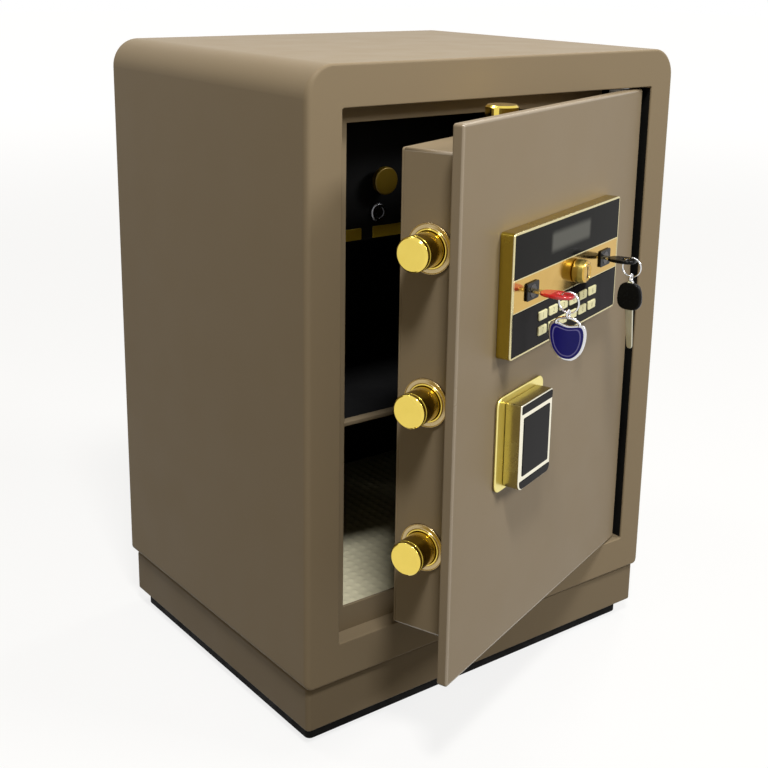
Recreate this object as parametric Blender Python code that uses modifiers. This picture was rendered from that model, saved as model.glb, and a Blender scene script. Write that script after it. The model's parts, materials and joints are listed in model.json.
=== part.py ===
# In-room safe: a steel cabinet on a plinth, and a door on pivot pins at its right side.
# The door carries a bolt box with five brass bolts, a keypad lock with two keys, and a turning handle.
# Units are metres. +X is right, +Y runs into the depth, +Z is up. The front looks along -Y.
# The origin is at the middle of the footprint, on the floor. The door stands ajar.
import math

import bpy
import bmesh
from mathutils import Matrix, Vector

for old in list(bpy.data.objects):
    bpy.data.objects.remove(old, do_unlink=True)

# Fits
SEAT = 0.0003
RUN = 0.0004
SIDES = 40
BORE_SIDES = 32
SMALL_SIDES = 24
PIN_SIDES = 16
NECK_SIDES = 12
CUT = 0.010
WELD = 0.00001

# Cabinet
BODY_W = 0.437
BODY_D = 0.347
BODY_H = 0.5563
SHEET = 0.004
CORNER_R = 0.027
FOOT_R = 0.003
PLINTH_H = 0.0437
PLINTH_INSET = 0.0037
PLINTH_EDGE = 0.0015
PAD_T = 0.016
PAD_INSET = 0.0105
PAD_INSET_LEFT = 0.0073
PAD_EDGE = 0.001

# Door opening, seen from the front, and the lip behind the door
FRAME_LEFT = 0.0355
FRAME_RIGHT = 0.0305
FRAME_TOP = 0.0361
FRAME_SILL = 0.0373
JAMB_T = 0.004
REBATE = 0.0175
LIP_T = 0.003
LIP_LEFT = 0.0167
LIP_TOP = 0.0147
LIP_BOTTOM = 0.0243
LIP_HINGE_CLEAR = 0.026

# Interior
LINER_T = 0.002
MAT_T = 0.004
MAT_MARGIN = 0.003
MAT_FRONT = 0.012
MAT_EDGE = 0.0008
SHELF_T = 0.005
SHELF_TOP = 0.276
SHELF_SETBACK = 0.0735
SHELF_EDGE = 0.0006
LEDGE = 0.008
LOCKER_LEFT = 0.0240
LOCKER_W = 0.172
LOCKER_DROP = 0.1387
LOCKER_T = 0.0015
LOCKER_D = 0.200
LOCKER_SETBACK = 0.0895
DRAWER_FRONT_T = 0.003
DRAWER_H = 0.112
DRAWER_WALL = 0.0015
TRAY_H = 0.060
DRAWER_CLEAR = 0.0010
PULL_R = 0.013
PULL_L = 0.014
PULL_EDGE = 0.0018
PULL_RIM = 0.0056
PULL_NECK_R = 0.0072
PULL_NECK_L = 0.0048
PULL_Z = 0.055
CYLINDER_R = 0.009
CYLINDER_T = 0.0035
CYLINDER_EDGE = 0.0015
CYLINDER_Z = 0.024
TRIM_H = 0.011
TRIM_T = 0.0015

# Door slab and its pivot
DOOR_GAP_FREE = 0.0055
DOOR_GAP_HINGE = 0.0105
DOOR_GAP_END = 0.002
DOOR_T = 0.010
DOOR_EDGE = 0.0015
PIVOT_IN = 0.0145
PIVOT_BACK = 0.016
REST_ANGLE = math.radians(19.7)
PIN_R = 0.004
PIN_FLANGE_R = 0.008
PIN_FLANGE_T = 0.0014
PIN_L = 0.0215
BLOCK_W = 0.024
BLOCK_D = 0.0137
BLOCK_H = 0.0215

# Bolt box behind the slab
BOX_INSET = 0.019
BOX_RIGHT = 0.012
BOX_DROP = 0.0255
BOX_RISE = 0.033
BOX_D = 0.0565
BOX_T = 0.0025
COVER_T = 0.002
COVER_EDGE = 0.0005
BATTERY_W = 0.070
BATTERY_H = 0.046
BATTERY_T = 0.0015
BATTERY_EDGE = 0.0004
BATTERY_Z = 0.110

# Bolts
BOLT_R = 0.0147
BOLT_OUT = 0.0295
BOLT_CLEAR = 0.001
END_BOLT_OUT = 0.0262
BOLT_L = 0.054
BOLT_CHAMFER = 0.0018
BOLT_COUNT = 3
BOLT_RISE = 0.0801
BOLT_DROP = 0.0790
BOLT_BACK = 0.038
THROW = 0.027
BUSH_FLANGE_R = 0.0214
BUSH_FLANGE_T = 0.0016
BUSH_EDGE = 0.0006
BUSH_COLLAR_W = 0.0022
BUSH_COLLAR_T = 0.003
BUSH_WALL = 0.003
END_BOLT_OFFSET = 0.0208
BAR_T = 0.006
BAR_W = 0.020
BAR_END = 0.012

# Cam and followers
TURN = math.radians(60.0)
CAM_R = 0.0505
CAM_T = 0.004
CAM_BACK = 0.014
PIN_START = 0.0435
FOLLOWER_R = 0.003
ARM_T = 0.003
ARM_W = 0.012
ARM_GAP = 0.001
LIFT_W = 0.018
SPINDLE_R = 0.006

# Handle on the front of the slab
HANDLE_EDGE = 0.1122
HANDLE_Z = 0.2938
HANDLE_W = 0.060
HANDLE_H = 0.0787
HANDLE_T = 0.0155
HANDLE_R = 0.004
GLASS_T = 0.002
GLASS_BORDER = 0.0025
GLASS_SINK = 0.0010
GLASS_EDGE = 0.0005
PLATE_W = 0.0864
PLATE_RISE = 0.0457
PLATE_DROP = 0.0416
PLATE_T = 0.0027
PLATE_R = 0.008

# Keypad lock on the front of the slab
LOCK_EDGE = 0.1740
LOCK_MID_Z = 0.4300
HOUSING_W = 0.2168
HOUSING_H = 0.1083
HOUSING_T = 0.0132
HOUSING_R = 0.004
BEZEL = 0.002
STRIP_H = 0.0295
POCKET_D = 0.009
KEYPAD_T = 0.003
DISPLAY_EDGE = 0.0003
BUTTON_COLS = 6
BUTTON_ROWS = 2
BUTTON_PITCH_X = 0.0206
BUTTON_PITCH_Z = 0.0135
BUTTON_W = 0.0160
BUTTON_H = 0.0080
BUTTON_PROUD = 0.0011
BUTTON_TRAVEL = 0.0008
BUTTON_GAP = 0.0004
BUTTON_EDGE = 0.0006
BUTTON_SHIFT = 0.0015
KEY_IN_LEFT = 0.0350
KEY_IN_RIGHT = 0.0313
KEYHOLE_W = 0.022
KEYHOLE_H = 0.0155
KEYHOLE_T = 0.0015
KEYHOLE_R = 0.0015
PLUG_R = 0.006
KNOB_R = 0.0108
KNOB_T = 0.0115
KNOB_SIDE = 0.0060
KNOB_SHOULDER_R = 0.0099
KNOB_SHOULDER_T = 0.0104
KNOB_FLAT_R = 0.0086
KNOB_SHIFT = 0.0130

# Keys, rings and tag
BLADE_W = 0.008
BLADE_T = 0.0022
BLADE_ROOT = 0.0075
BOW_W = 0.021
BOW_T = 0.003
BOW_TIP_R = 0.008
BOW_HEEL_R = 0.0063
LEFT_BLADE_OUT = 0.007
LEFT_BOW_L = 0.030
LEFT_RING_R = 0.009
LEFT_RIM = 0.0045
RIGHT_BLADE_OUT = 0.003
RIGHT_BOW_L = 0.0265
RIGHT_RING_R = 0.009
RIGHT_RIM = 0.0035
WIRE_R = 0.0009
EYE_R = 0.0030
EYE_WIRE = 0.0010
TAG_W = 0.033
TAG_H = 0.035
TAG_T = 0.0030
TAG_NECK = 0.003
TAG_SHOULDER = 0.0021
TAG_SIDE = 0.0175
TAG_CHIN = 0.0273
TAG_CHIN_W = 0.0112
TAG_TURN = math.radians(-90.0)
SPARE_BOW_W = 0.024
SPARE_BOW_H = 0.026
SPARE_BOW_T = 0.0055
SPARE_TOP_W = 0.0082
SPARE_SHOULDER = 0.0091
SPARE_HEEL = 0.0221
SPARE_HEEL_W = 0.0091
SPARE_NECK = 0.0020
SPARE_BLADE_L = 0.042
SPARE_BLADE_W = 0.0075
SPARE_TIP_R = 0.0022

# Levels and edges that follow from the sizes above
FRONT = -BODY_D / 2
PLINTH_Z = PAD_T + SEAT
BODY_Z = PLINTH_Z + PLINTH_H + SEAT
TOP_Z = BODY_Z + BODY_H
OPEN_L = -BODY_W / 2 + FRAME_LEFT
OPEN_R = BODY_W / 2 - FRAME_RIGHT
OPEN_B = BODY_Z + FRAME_SILL
OPEN_T = TOP_Z - FRAME_TOP
LIP_Y = FRONT + REBATE
FRAME_BACK = LIP_Y + LIP_T
LINER_OUT = JAMB_T - LINER_T
IN_L = OPEN_L + DOOR_GAP_FREE + BOX_INSET - BOLT_OUT - BOLT_CLEAR
IN_R = OPEN_R + LINER_OUT
IN_B = OPEN_B - LINER_OUT
IN_T = OPEN_T + LINER_OUT
LINER_Y = FRAME_BACK + SEAT
BACK_Y = BODY_D / 2 - SHEET
IN_BACK = BACK_Y - SEAT - LINER_T

# Door sizes in the closed door's own frame: the pivot is at x = 0, y = 0
SLAB_W = OPEN_R - OPEN_L - DOOR_GAP_FREE - DOOR_GAP_HINGE
SLAB_B = OPEN_B + DOOR_GAP_END
SLAB_T = OPEN_T - DOOR_GAP_END
PIVOT_X = OPEN_R - DOOR_GAP_HINGE - PIVOT_IN
PIVOT_Y = FRONT + PIVOT_BACK
FACE_Y = -PIVOT_BACK
REAR_Y = FACE_Y + DOOR_T
FREE_X = PIVOT_IN - SLAB_W
BOX_L = FREE_X + BOX_INSET
BOX_R = PIVOT_IN - BOX_RIGHT
BOX_B = SLAB_B + BOX_RISE
BOX_TOP = SLAB_T - BOX_DROP
BOX_BACK = FACE_Y + DOOR_T + BOX_D
COVER_Y = BOX_BACK - COVER_T
BOLT_Y = FACE_Y + BOLT_BACK
BOLT_LOW = BOX_B + BOLT_RISE
BOLT_HIGH = BOX_TOP - BOLT_DROP
HANDLE_AX = FREE_X + HANDLE_EDGE
LOCK_AX = FREE_X + LOCK_EDGE
END_BOLT_AX = HANDLE_AX + END_BOLT_OFFSET
HOUSING_Y = FACE_Y - SEAT - HOUSING_T
CAM_Y = FACE_Y + CAM_BACK
ARM_Y = CAM_Y + CAM_T + ARM_GAP

parts = bpy.data.collections.new("in_room_safe")
cutters = bpy.data.collections.new("in_room_safe_cutters")
bpy.context.scene.collection.children.link(parts)
bpy.context.scene.collection.children.link(cutters)


def material(name, colour, roughness, metallic):
    """A Principled material with one colour."""
    mat = bpy.data.materials.new(name)
    mat.use_nodes = True
    shader = mat.node_tree.nodes["Principled BSDF"]
    shader.inputs["Base Color"].default_value = (*colour, 1.0)
    shader.inputs["Roughness"].default_value = roughness
    shader.inputs["Metallic"].default_value = metallic
    return mat


PAINT = material("taupe_powder_coat", (0.29, 0.235, 0.17), 0.45, 0.0)
RUBBER = material("black_rubber", (0.015, 0.014, 0.013), 0.75, 0.0)
DARK = material("black_liner", (0.012, 0.012, 0.012), 0.5, 0.0)
MAT_CREAM = material("cream_mat", (0.55, 0.50, 0.36), 0.6, 0.0)
STEEL = material("zinc_steel", (0.55, 0.55, 0.53), 0.35, 1.0)
BRASS = material("polished_brass", (0.72, 0.55, 0.20), 0.16, 1.0)
GOLD = material("mirror_gold", (0.80, 0.66, 0.34), 0.08, 1.0)
BLACK = material("black_gloss", (0.012, 0.012, 0.013), 0.08, 0.0)
KEYCAP = material("pale_gold_key", (0.70, 0.66, 0.46), 0.30, 0.0)
RED = material("red_plastic", (0.45, 0.04, 0.035), 0.35, 0.0)
BLUE = material("blue_enamel", (0.03, 0.10, 0.42), 0.25, 0.0)

# A frame is an empty with its place in its own door or cabinet coordinates
PLACE = {}


def frame(name, at, parent=None, turn=0.0):
    """An empty on a joint's axis, given in the coordinates of the cabinet or of the closed door."""
    empty = bpy.data.objects.new(name, None)
    parts.objects.link(empty)
    empty.empty_display_size = 0.02
    base = Vector((0, 0, 0)) if parent is None or turn else PLACE[parent.name]
    empty.parent = parent
    empty.location = Vector(at) - base
    empty.rotation_euler = (0, 0, turn)
    PLACE[empty.name] = Vector((0, 0, 0)) if turn else Vector(at)
    return empty


def add(name, mesh, at, mat, parent, cutter=False):
    """Links an object whose mesh is drawn round the point at."""
    obj = bpy.data.objects.new(name, mesh)
    base = PLACE[parent.name] if parent else Vector((0, 0, 0))
    obj.parent = parent
    obj.location = Vector(at) - base
    if cutter:
        cutters.objects.link(obj)
        obj.hide_render = True
        obj.display_type = "WIRE"
    else:
        parts.objects.link(obj)
        mesh.materials.append(mat)
    return obj


def soften(obj, width, segments=1):
    """Rounds or chamfers the sharp edges."""
    bevel = obj.modifiers.new("edge", "BEVEL")
    bevel.width = width
    bevel.segments = segments
    bevel.limit_method = "ANGLE"
    bevel.angle_limit = math.radians(40)


def box(name, low, high, mat, parent=None, edge=0.0, cutter=False):
    """A box between two corners, with its origin at its middle."""
    low, high = Vector(low), Vector(high)
    bm = bmesh.new()
    bmesh.ops.create_cube(bm, size=1.0)
    bmesh.ops.scale(bm, vec=high - low, verts=bm.verts)
    mesh = bpy.data.meshes.new(name)
    bm.to_mesh(mesh)
    bm.free()
    obj = add(name, mesh, (low + high) / 2, mat, parent, cutter)
    if edge:
        soften(obj, edge)
    return obj


def along(axis):
    """The turn that takes +Z to an axis."""
    return Vector((0, 0, 1)).rotation_difference(Vector(axis)).to_matrix().to_4x4()


def cylinder(name, radius, start, end, mat, parent=None, cutter=False, sides=SIDES):
    """A round bar from one point to another."""
    start, end = Vector(start), Vector(end)
    bm = bmesh.new()
    bmesh.ops.create_cone(
        bm, cap_ends=True, segments=sides, radius1=radius, radius2=radius, depth=(end - start).length
    )
    bmesh.ops.transform(bm, matrix=along(end - start), verts=bm.verts)
    mesh = bpy.data.meshes.new(name)
    bm.to_mesh(mesh)
    bm.free()
    mesh.shade_smooth()
    mesh.set_sharp_from_angle(angle=math.radians(35))
    return add(name, mesh, (start + end) / 2, mat, parent, cutter)


def turned(name, profile, at, axis, mat, parent=None, ring=False, cutter=False, sides=SIDES):
    """A turned piece: (radius, height) points down its outer side, turned round an axis at a point."""
    bm = bmesh.new()
    verts = [bm.verts.new((r, 0, h)) for r, h in profile]
    pairs = list(zip(verts, verts[1:]))
    if ring:
        pairs.append((verts[-1], verts[0]))
    for one, two in pairs:
        bm.edges.new((one, two))
    mesh = bpy.data.meshes.new(name)
    bm.to_mesh(mesh)
    bm.free()
    obj = add(name, mesh, at, mat, parent, cutter)
    obj.rotation_euler = along(axis).to_euler()
    screw = obj.modifiers.new("turn", "SCREW")
    screw.axis = "Z"
    screw.steps = sides
    screw.render_steps = sides
    screw.use_merge_vertices = True
    screw.merge_threshold = WELD
    screw.use_smooth_shade = True
    return obj


def arc(cx, cy, radius, start, end, count):
    """Points on an arc, angles in degrees."""
    angles = [math.radians(start + (end - start) * i / count) for i in range(count + 1)]
    return [(cx + radius * math.cos(a), cy + radius * math.sin(a)) for a in angles]


def circle(cy, radius, count):
    """A full circle of points, with its middle at x = 0."""
    return arc(0, cy, radius, 0, 360 - 360 / count, count - 1)


def rounded(low, high, radii, count=6):
    """A rectangle with its own corner radii: bottom left, bottom right, top right, top left."""
    (x0, y0), (x1, y1) = low, high
    corners = [(x0, y0, 1, 1, 180), (x1, y0, -1, 1, 270), (x1, y1, -1, -1, 0), (x0, y1, 1, -1, 90)]
    points = []
    for (x, y, sx, sy, start), r in zip(corners, radii):
        points += arc(x + sx * r, y + sy * r, r, start, start + 90, count) if r else [(x, y)]
    return points


def plate(name, loops, thick, at, mat, parent=None, turn=(math.pi / 2, 0, 0), cutter=False):
    """A flat outline, with any holes, given a thickness. Unturned, the outline lies in X and Z."""
    curve = bpy.data.curves.new(name, "CURVE")
    curve.dimensions = "2D"
    curve.fill_mode = "BOTH"
    curve.extrude = thick / 2
    for loop in loops:
        spline = curve.splines.new("POLY")
        spline.points.add(len(loop) - 1)
        for point, (x, y) in zip(spline.points, loop):
            point.co = (x, y, 0, 1)
        spline.use_cyclic_u = True
    drawn = bpy.data.objects.new(name + "_outline", curve)
    bpy.context.scene.collection.objects.link(drawn)
    graph = bpy.context.evaluated_depsgraph_get()
    mesh = bpy.data.meshes.new_from_object(drawn.evaluated_get(graph))
    bpy.data.objects.remove(drawn, do_unlink=True)
    bpy.data.curves.remove(curve)
    bm = bmesh.new()
    bm.from_mesh(mesh)
    bmesh.ops.remove_doubles(bm, verts=bm.verts, dist=WELD)
    bmesh.ops.recalc_face_normals(bm, faces=bm.faces)
    bm.to_mesh(mesh)
    bm.free()
    mesh.materials.clear()
    mesh.name = name
    obj = add(name, mesh, at, mat, parent, cutter)
    obj.rotation_euler = turn
    return obj


def boolean(obj, other, operation):
    """Cuts or joins another shape."""
    mod = obj.modifiers.new(operation.lower(), "BOOLEAN")
    mod.operation = operation
    mod.object = other
    mod.solver = "EXACT"


def cut(obj, *others):
    for other in others:
        boolean(obj, other, "DIFFERENCE")


def join(obj, *others):
    for other in others:
        boolean(obj, other, "UNION")


# Base pad, plinth and outer shell
# A black pad lifts the plinth off the floor. The plinth is a sheet tray that the body's floor closes.
# The shell is one wrap of sheet with two round top edges.
HALF_W = BODY_W / 2
PLINTH_W = HALF_W - PLINTH_INSET
PLINTH_F = FRONT + PLINTH_INSET
PAD_L = -PLINTH_W + PAD_INSET_LEFT
PAD_R = PLINTH_W - PAD_INSET
PAD_F = PLINTH_F + PAD_INSET
box("base_pad", (PAD_L, PAD_F, 0), (PAD_R, -PAD_F, PAD_T), RUBBER, edge=PAD_EDGE)
PLINTH_TOP = PLINTH_Z + PLINTH_H
plinth = box(
    "plinth", (-PLINTH_W, PLINTH_F, PLINTH_Z), (PLINTH_W, -PLINTH_F, PLINTH_TOP), PAINT, edge=PLINTH_EDGE
)
plinth_hole = box(
    "plinth_cut",
    (-PLINTH_W + SHEET, PLINTH_F + SHEET, PLINTH_Z + SHEET),
    (PLINTH_W - SHEET, -PLINTH_F - SHEET, PLINTH_TOP + CUT),
    None,
    cutter=True,
)
cut(plinth, plinth_hole)

body_outline = rounded((-HALF_W, BODY_Z), (HALF_W, TOP_Z), (FOOT_R, FOOT_R, CORNER_R, CORNER_R))
INNER_R = CORNER_R - SHEET
body_inside = rounded(
    (-HALF_W + SHEET, BODY_Z + SHEET), (HALF_W - SHEET, TOP_Z - SHEET), (0, 0, INNER_R, INNER_R)
)
SHELL_F = FRONT + SHEET + SEAT
shell_mid = (SHELL_F + BODY_D / 2) / 2
plate("outer_shell", [body_outline, body_inside], BODY_D / 2 - SHELL_F, (0, shell_mid, 0), PAINT)
BACK_EDGE = SHEET + SEAT
back_outline = rounded(
    (-HALF_W + BACK_EDGE, BODY_Z + BACK_EDGE),
    (HALF_W - BACK_EDGE, TOP_Z - BACK_EDGE),
    (0, 0, INNER_R - SEAT, INNER_R - SEAT),
)
plate("back_panel", [back_outline], SHEET, (0, BACK_Y + SHEET / 2, 0), PAINT)

# Front frame
# One face plate with the opening, a jamb round the opening, and a lip that the bolts pass behind.
# The lip stops short of the pivot side, so that the door's hinge edge can swing in.
frame_obj = plate("front_frame", [body_outline], SHEET, (0, FRONT + SHEET / 2, 0), PAINT)
jamb = box(
    "jamb_block",
    (OPEN_L - JAMB_T, FRONT + SHEET / 2, OPEN_B - JAMB_T),
    (OPEN_R + JAMB_T, FRAME_BACK, OPEN_T + JAMB_T),
    None,
    cutter=True,
)
door_hole = box("opening_cut", (OPEN_L, FRONT - CUT, OPEN_B), (OPEN_R, LIP_Y, OPEN_T), None, cutter=True)
lip_hole = box(
    "lip_cut",
    (OPEN_L + LIP_LEFT, FRONT, OPEN_B + LIP_BOTTOM),
    (OPEN_R, FRAME_BACK + CUT, OPEN_T - LIP_TOP),
    None,
    cutter=True,
)
hinge_hole = box(
    "hinge_cut",
    (PIVOT_X - LIP_HINGE_CLEAR, FRONT, OPEN_B),
    (OPEN_R, FRAME_BACK + CUT, OPEN_T),
    None,
    cutter=True,
)
join(frame_obj, jamb)
cut(frame_obj, door_hole, lip_hole, hinge_hole)

# Interior liner, floor mat and shelf
# The liner is a black sheet box, open to the front, with two ledges for the shelf.
liner = box(
    "inner_liner",
    (IN_L - LINER_T, LINER_Y, IN_B - LINER_T),
    (IN_R + LINER_T, IN_BACK + LINER_T, IN_T + LINER_T),
    DARK,
)
liner_hole = box("liner_cut", (IN_L, LINER_Y - CUT, IN_B), (IN_R, IN_BACK, IN_T), None, cutter=True)
SHELF_F = FRONT + SHELF_SETBACK
LEDGE_F = SHELF_F + LEDGE
LEDGE_TOP = SHELF_TOP - SHELF_T - SEAT
ledge_l = box(
    "ledge_left",
    (IN_L - LINER_T / 2, LEDGE_F, LEDGE_TOP - LEDGE),
    (IN_L + LEDGE, IN_BACK + LINER_T / 2, LEDGE_TOP),
    None,
    cutter=True,
)
ledge_r = box(
    "ledge_right",
    (IN_R - LEDGE, LEDGE_F, LEDGE_TOP - LEDGE),
    (IN_R + LINER_T / 2, IN_BACK + LINER_T / 2, LEDGE_TOP),
    None,
    cutter=True,
)
cut(liner, liner_hole)
join(liner, ledge_l, ledge_r)
box(
    "floor_mat",
    (IN_L + MAT_MARGIN, LINER_Y + MAT_FRONT, IN_B + SEAT),
    (IN_R - MAT_MARGIN, IN_BACK - MAT_MARGIN, IN_B + SEAT + MAT_T),
    MAT_CREAM,
    edge=MAT_EDGE,
)
box(
    "shelf",
    (IN_L + SEAT, SHELF_F, SHELF_TOP - SHELF_T),
    (IN_R - SEAT, IN_BACK - SEAT, SHELF_TOP),
    PAINT,
    edge=SHELF_EDGE,
)

# Locker and drawer
# A sheet case hangs from the liner's ceiling. The drawer slides on its floor and has a gold pull and a lock.
CASE_L = IN_L + LOCKER_LEFT
CASE_R = CASE_L + LOCKER_W
CASE_T = IN_T - SEAT
CASE_B = IN_T - LOCKER_DROP
CASE_F = FRONT + LOCKER_SETBACK
CASE_BACK = CASE_F + LOCKER_D
case = box("locker_case", (CASE_L, CASE_F, CASE_B), (CASE_R, CASE_BACK, CASE_T), DARK)
CASE_IN_L = CASE_L + LOCKER_T
CASE_IN_R = CASE_R - LOCKER_T
CASE_IN_B = CASE_B + LOCKER_T
case_hole = box(
    "locker_cut",
    (CASE_IN_L, CASE_F - CUT, CASE_IN_B),
    (CASE_IN_R, CASE_BACK - LOCKER_T, CASE_T - LOCKER_T),
    None,
    cutter=True,
)
cut(case, case_hole)
DRAWER_L = CASE_IN_L + DRAWER_CLEAR
DRAWER_R = CASE_IN_R - DRAWER_CLEAR
DRAWER_B = CASE_IN_B + SEAT
DRAWER_F = CASE_F + SEAT
DRAWER_BACK = CASE_BACK - LOCKER_T - DRAWER_CLEAR
drawer_axis = frame("drawer_axis", ((DRAWER_L + DRAWER_R) / 2, DRAWER_F, DRAWER_B))
drawer = box(
    "drawer",
    (DRAWER_L, DRAWER_F, DRAWER_B),
    (DRAWER_R, DRAWER_BACK, DRAWER_B + TRAY_H),
    DARK,
    drawer_axis,
)
tray_hole = box(
    "tray_cut",
    (DRAWER_L + DRAWER_WALL, DRAWER_F + DRAWER_FRONT_T, DRAWER_B + DRAWER_WALL),
    (DRAWER_R - DRAWER_WALL, DRAWER_BACK - DRAWER_WALL, DRAWER_B + TRAY_H + CUT),
    None,
    drawer_axis,
    cutter=True,
)
drawer_face = box(
    "drawer_face",
    (DRAWER_L, DRAWER_F, DRAWER_B + TRAY_H / 2),
    (DRAWER_R, DRAWER_F + DRAWER_FRONT_T, DRAWER_B + DRAWER_H),
    None,
    drawer_axis,
    cutter=True,
)
cut(drawer, tray_hole)
join(drawer, drawer_face)
DRAWER_MID = (DRAWER_L + DRAWER_R) / 2
OUT = (0, -1, 0)
turned(
    "drawer_pull",
    [(0, PULL_L), (PULL_R - PULL_EDGE, PULL_L), (PULL_R, PULL_L - PULL_EDGE), (PULL_R, PULL_L - PULL_RIM),
     (PULL_NECK_R, PULL_NECK_L), (PULL_NECK_R, 0), (0, 0)],
    (DRAWER_MID, DRAWER_F - SEAT, DRAWER_B + PULL_Z),
    OUT,
    GOLD,
    drawer_axis,
    sides=SMALL_SIDES,
)
turned(
    "drawer_lock",
    [(0, CYLINDER_T), (CYLINDER_R - CYLINDER_EDGE, CYLINDER_T), (CYLINDER_R, CYLINDER_T - CYLINDER_EDGE),
     (CYLINDER_R, 0), (0, 0)],
    (DRAWER_MID, DRAWER_F - SEAT, DRAWER_B + CYLINDER_Z),
    OUT,
    STEEL,
    drawer_axis,
    sides=SMALL_SIDES,
)
box(
    "drawer_trim",
    (DRAWER_L, DRAWER_F - SEAT - TRIM_T, DRAWER_B),
    (DRAWER_R, DRAWER_F - SEAT, DRAWER_B + TRIM_H),
    GOLD,
    drawer_axis,
)

# Hinge pins, fixed in the frame above and below the door
PIN_TOP_Z = OPEN_T - SEAT
PIN_BOTTOM_Z = OPEN_B + SEAT
pin_profile = [
    (0, 0),
    (PIN_FLANGE_R, 0),
    (PIN_FLANGE_R, -PIN_FLANGE_T),
    (PIN_R, -PIN_FLANGE_T),
    (PIN_R, -PIN_L),
    (0, -PIN_L),
]
turned("hinge_pin_top", pin_profile, (PIVOT_X, PIVOT_Y, PIN_TOP_Z), (0, 0, 1), STEEL, sides=SMALL_SIDES)
turned("hinge_pin_bottom", pin_profile, (PIVOT_X, PIVOT_Y, PIN_BOTTOM_Z), (0, 0, -1), STEEL, sides=SMALL_SIDES)

# Door slab, drawn closed under an empty on the pivot that is turned to the resting angle
door = frame("door_axis", (PIVOT_X, PIVOT_Y, 0), None, REST_ANGLE)
slab = box("door_panel", (FREE_X, FACE_Y, SLAB_B), (PIVOT_IN, REAR_Y, SLAB_T), PAINT, door, edge=DOOR_EDGE)
PLUG_HOLE = PLUG_R + RUN
KEY_LEFT_X = LOCK_AX - HOUSING_W / 2 + KEY_IN_LEFT
KEY_RIGHT_X = LOCK_AX + HOUSING_W / 2 - KEY_IN_RIGHT
KNOB_AX = (KEY_LEFT_X + KEY_RIGHT_X) / 2 + KNOB_SHIFT
KEY_Z = LOCK_MID_Z


def bore(name, radius, x, z, y0, y1):
    """A round hole through the door, from front to back."""
    return cylinder(name, radius, (x, y0, z), (x, y1, z), None, door, cutter=True, sides=BORE_SIDES)


spindle_hole = bore("spindle_cut", SPINDLE_R + RUN, HANDLE_AX, HANDLE_Z, FACE_Y - CUT, REAR_Y + CUT)
left_hole = bore("plug_left_cut", PLUG_HOLE, KEY_LEFT_X, KEY_Z, HOUSING_Y - CUT, REAR_Y + CUT)
right_hole = bore("plug_right_cut", PLUG_HOLE, KEY_RIGHT_X, KEY_Z, HOUSING_Y - CUT, REAR_Y + CUT)
cut(slab, spindle_hole, left_hole, right_hole)

# Hinge blocks on the back of the slab, bored for the pins
for end, low in (("top", SLAB_T - BLOCK_H), ("bottom", SLAB_B)):
    block = box(
        "hinge_block_" + end,
        (-BLOCK_W / 2, REAR_Y + SEAT, low),
        (BLOCK_W / 2, REAR_Y + SEAT + BLOCK_D, low + BLOCK_H),
        STEEL,
        door,
    )
    hole = cylinder(
        "pin_cut_" + end,
        PIN_R + RUN,
        (0, 0, low - CUT),
        (0, 0, low + BLOCK_H + CUT),
        None,
        door,
        cutter=True,
        sides=BORE_SIDES,
    )
    cut(block, hole)

# Bolt box: four sheet walls, and a cover plate on the back with a battery lid
walls = box("bolt_box", (BOX_L, REAR_Y + SEAT, BOX_B), (BOX_R, COVER_Y - SEAT, BOX_TOP), PAINT, door)
walls_hole = box(
    "bolt_box_cut",
    (BOX_L + BOX_T, REAR_Y - CUT, BOX_B + BOX_T),
    (BOX_R - BOX_T, BOX_BACK + CUT, BOX_TOP - BOX_T),
    None,
    door,
    cutter=True,
)
cut(walls, walls_hole)
box("door_cover", (BOX_L, COVER_Y, BOX_B), (BOX_R, BOX_BACK, BOX_TOP), PAINT, door, edge=COVER_EDGE)
COVER_MID = (BOX_L + BOX_R) / 2
box(
    "battery_lid",
    (COVER_MID - BATTERY_W / 2, BOX_BACK + SEAT, BOX_B + BATTERY_Z),
    (COVER_MID + BATTERY_W / 2, BOX_BACK + SEAT + BATTERY_T, BOX_B + BATTERY_Z + BATTERY_H),
    BLACK,
    door,
    edge=BATTERY_EDGE,
)

# Bolts and their bushes
# Each bush is a sleeve in the wall of the bolt box, with a flange and a raised collar.
# The bolts stand thrown by their full travel.
BUSH_BORE = BOLT_R + RUN
BUSH_OUT = BUSH_BORE + BUSH_WALL
bush_profile = [
    (BUSH_BORE, BUSH_COLLAR_T),
    (BUSH_BORE + BUSH_COLLAR_W, BUSH_COLLAR_T),
    (BUSH_BORE + BUSH_COLLAR_W, BUSH_FLANGE_T),
    (BUSH_FLANGE_R - BUSH_EDGE, BUSH_FLANGE_T),
    (BUSH_FLANGE_R, BUSH_FLANGE_T - BUSH_EDGE),
    (BUSH_FLANGE_R, SEAT),
    (BUSH_OUT, SEAT),
    (BUSH_OUT, -BOX_T - SEAT),
    (BUSH_BORE, -BOX_T - SEAT),
]


def bolt_profile(out):
    """A round bolt with a chamfered end, reaching out from the wall of the box."""
    return [
        (0, out),
        (BOLT_R - BOLT_CHAMFER, out),
        (BOLT_R, out - BOLT_CHAMFER),
        (BOLT_R, out - BOLT_L),
        (0, out - BOLT_L),
    ]


def bolt_hole(name, at, axis):
    """The hole in the bolt box that a bush sits in."""
    at, axis = Vector(at), Vector(axis)
    hole = cylinder(name, BUSH_OUT + SEAT, at - axis * CUT, at + axis * CUT, None, door, cutter=True)
    cut(walls, hole)


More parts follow.
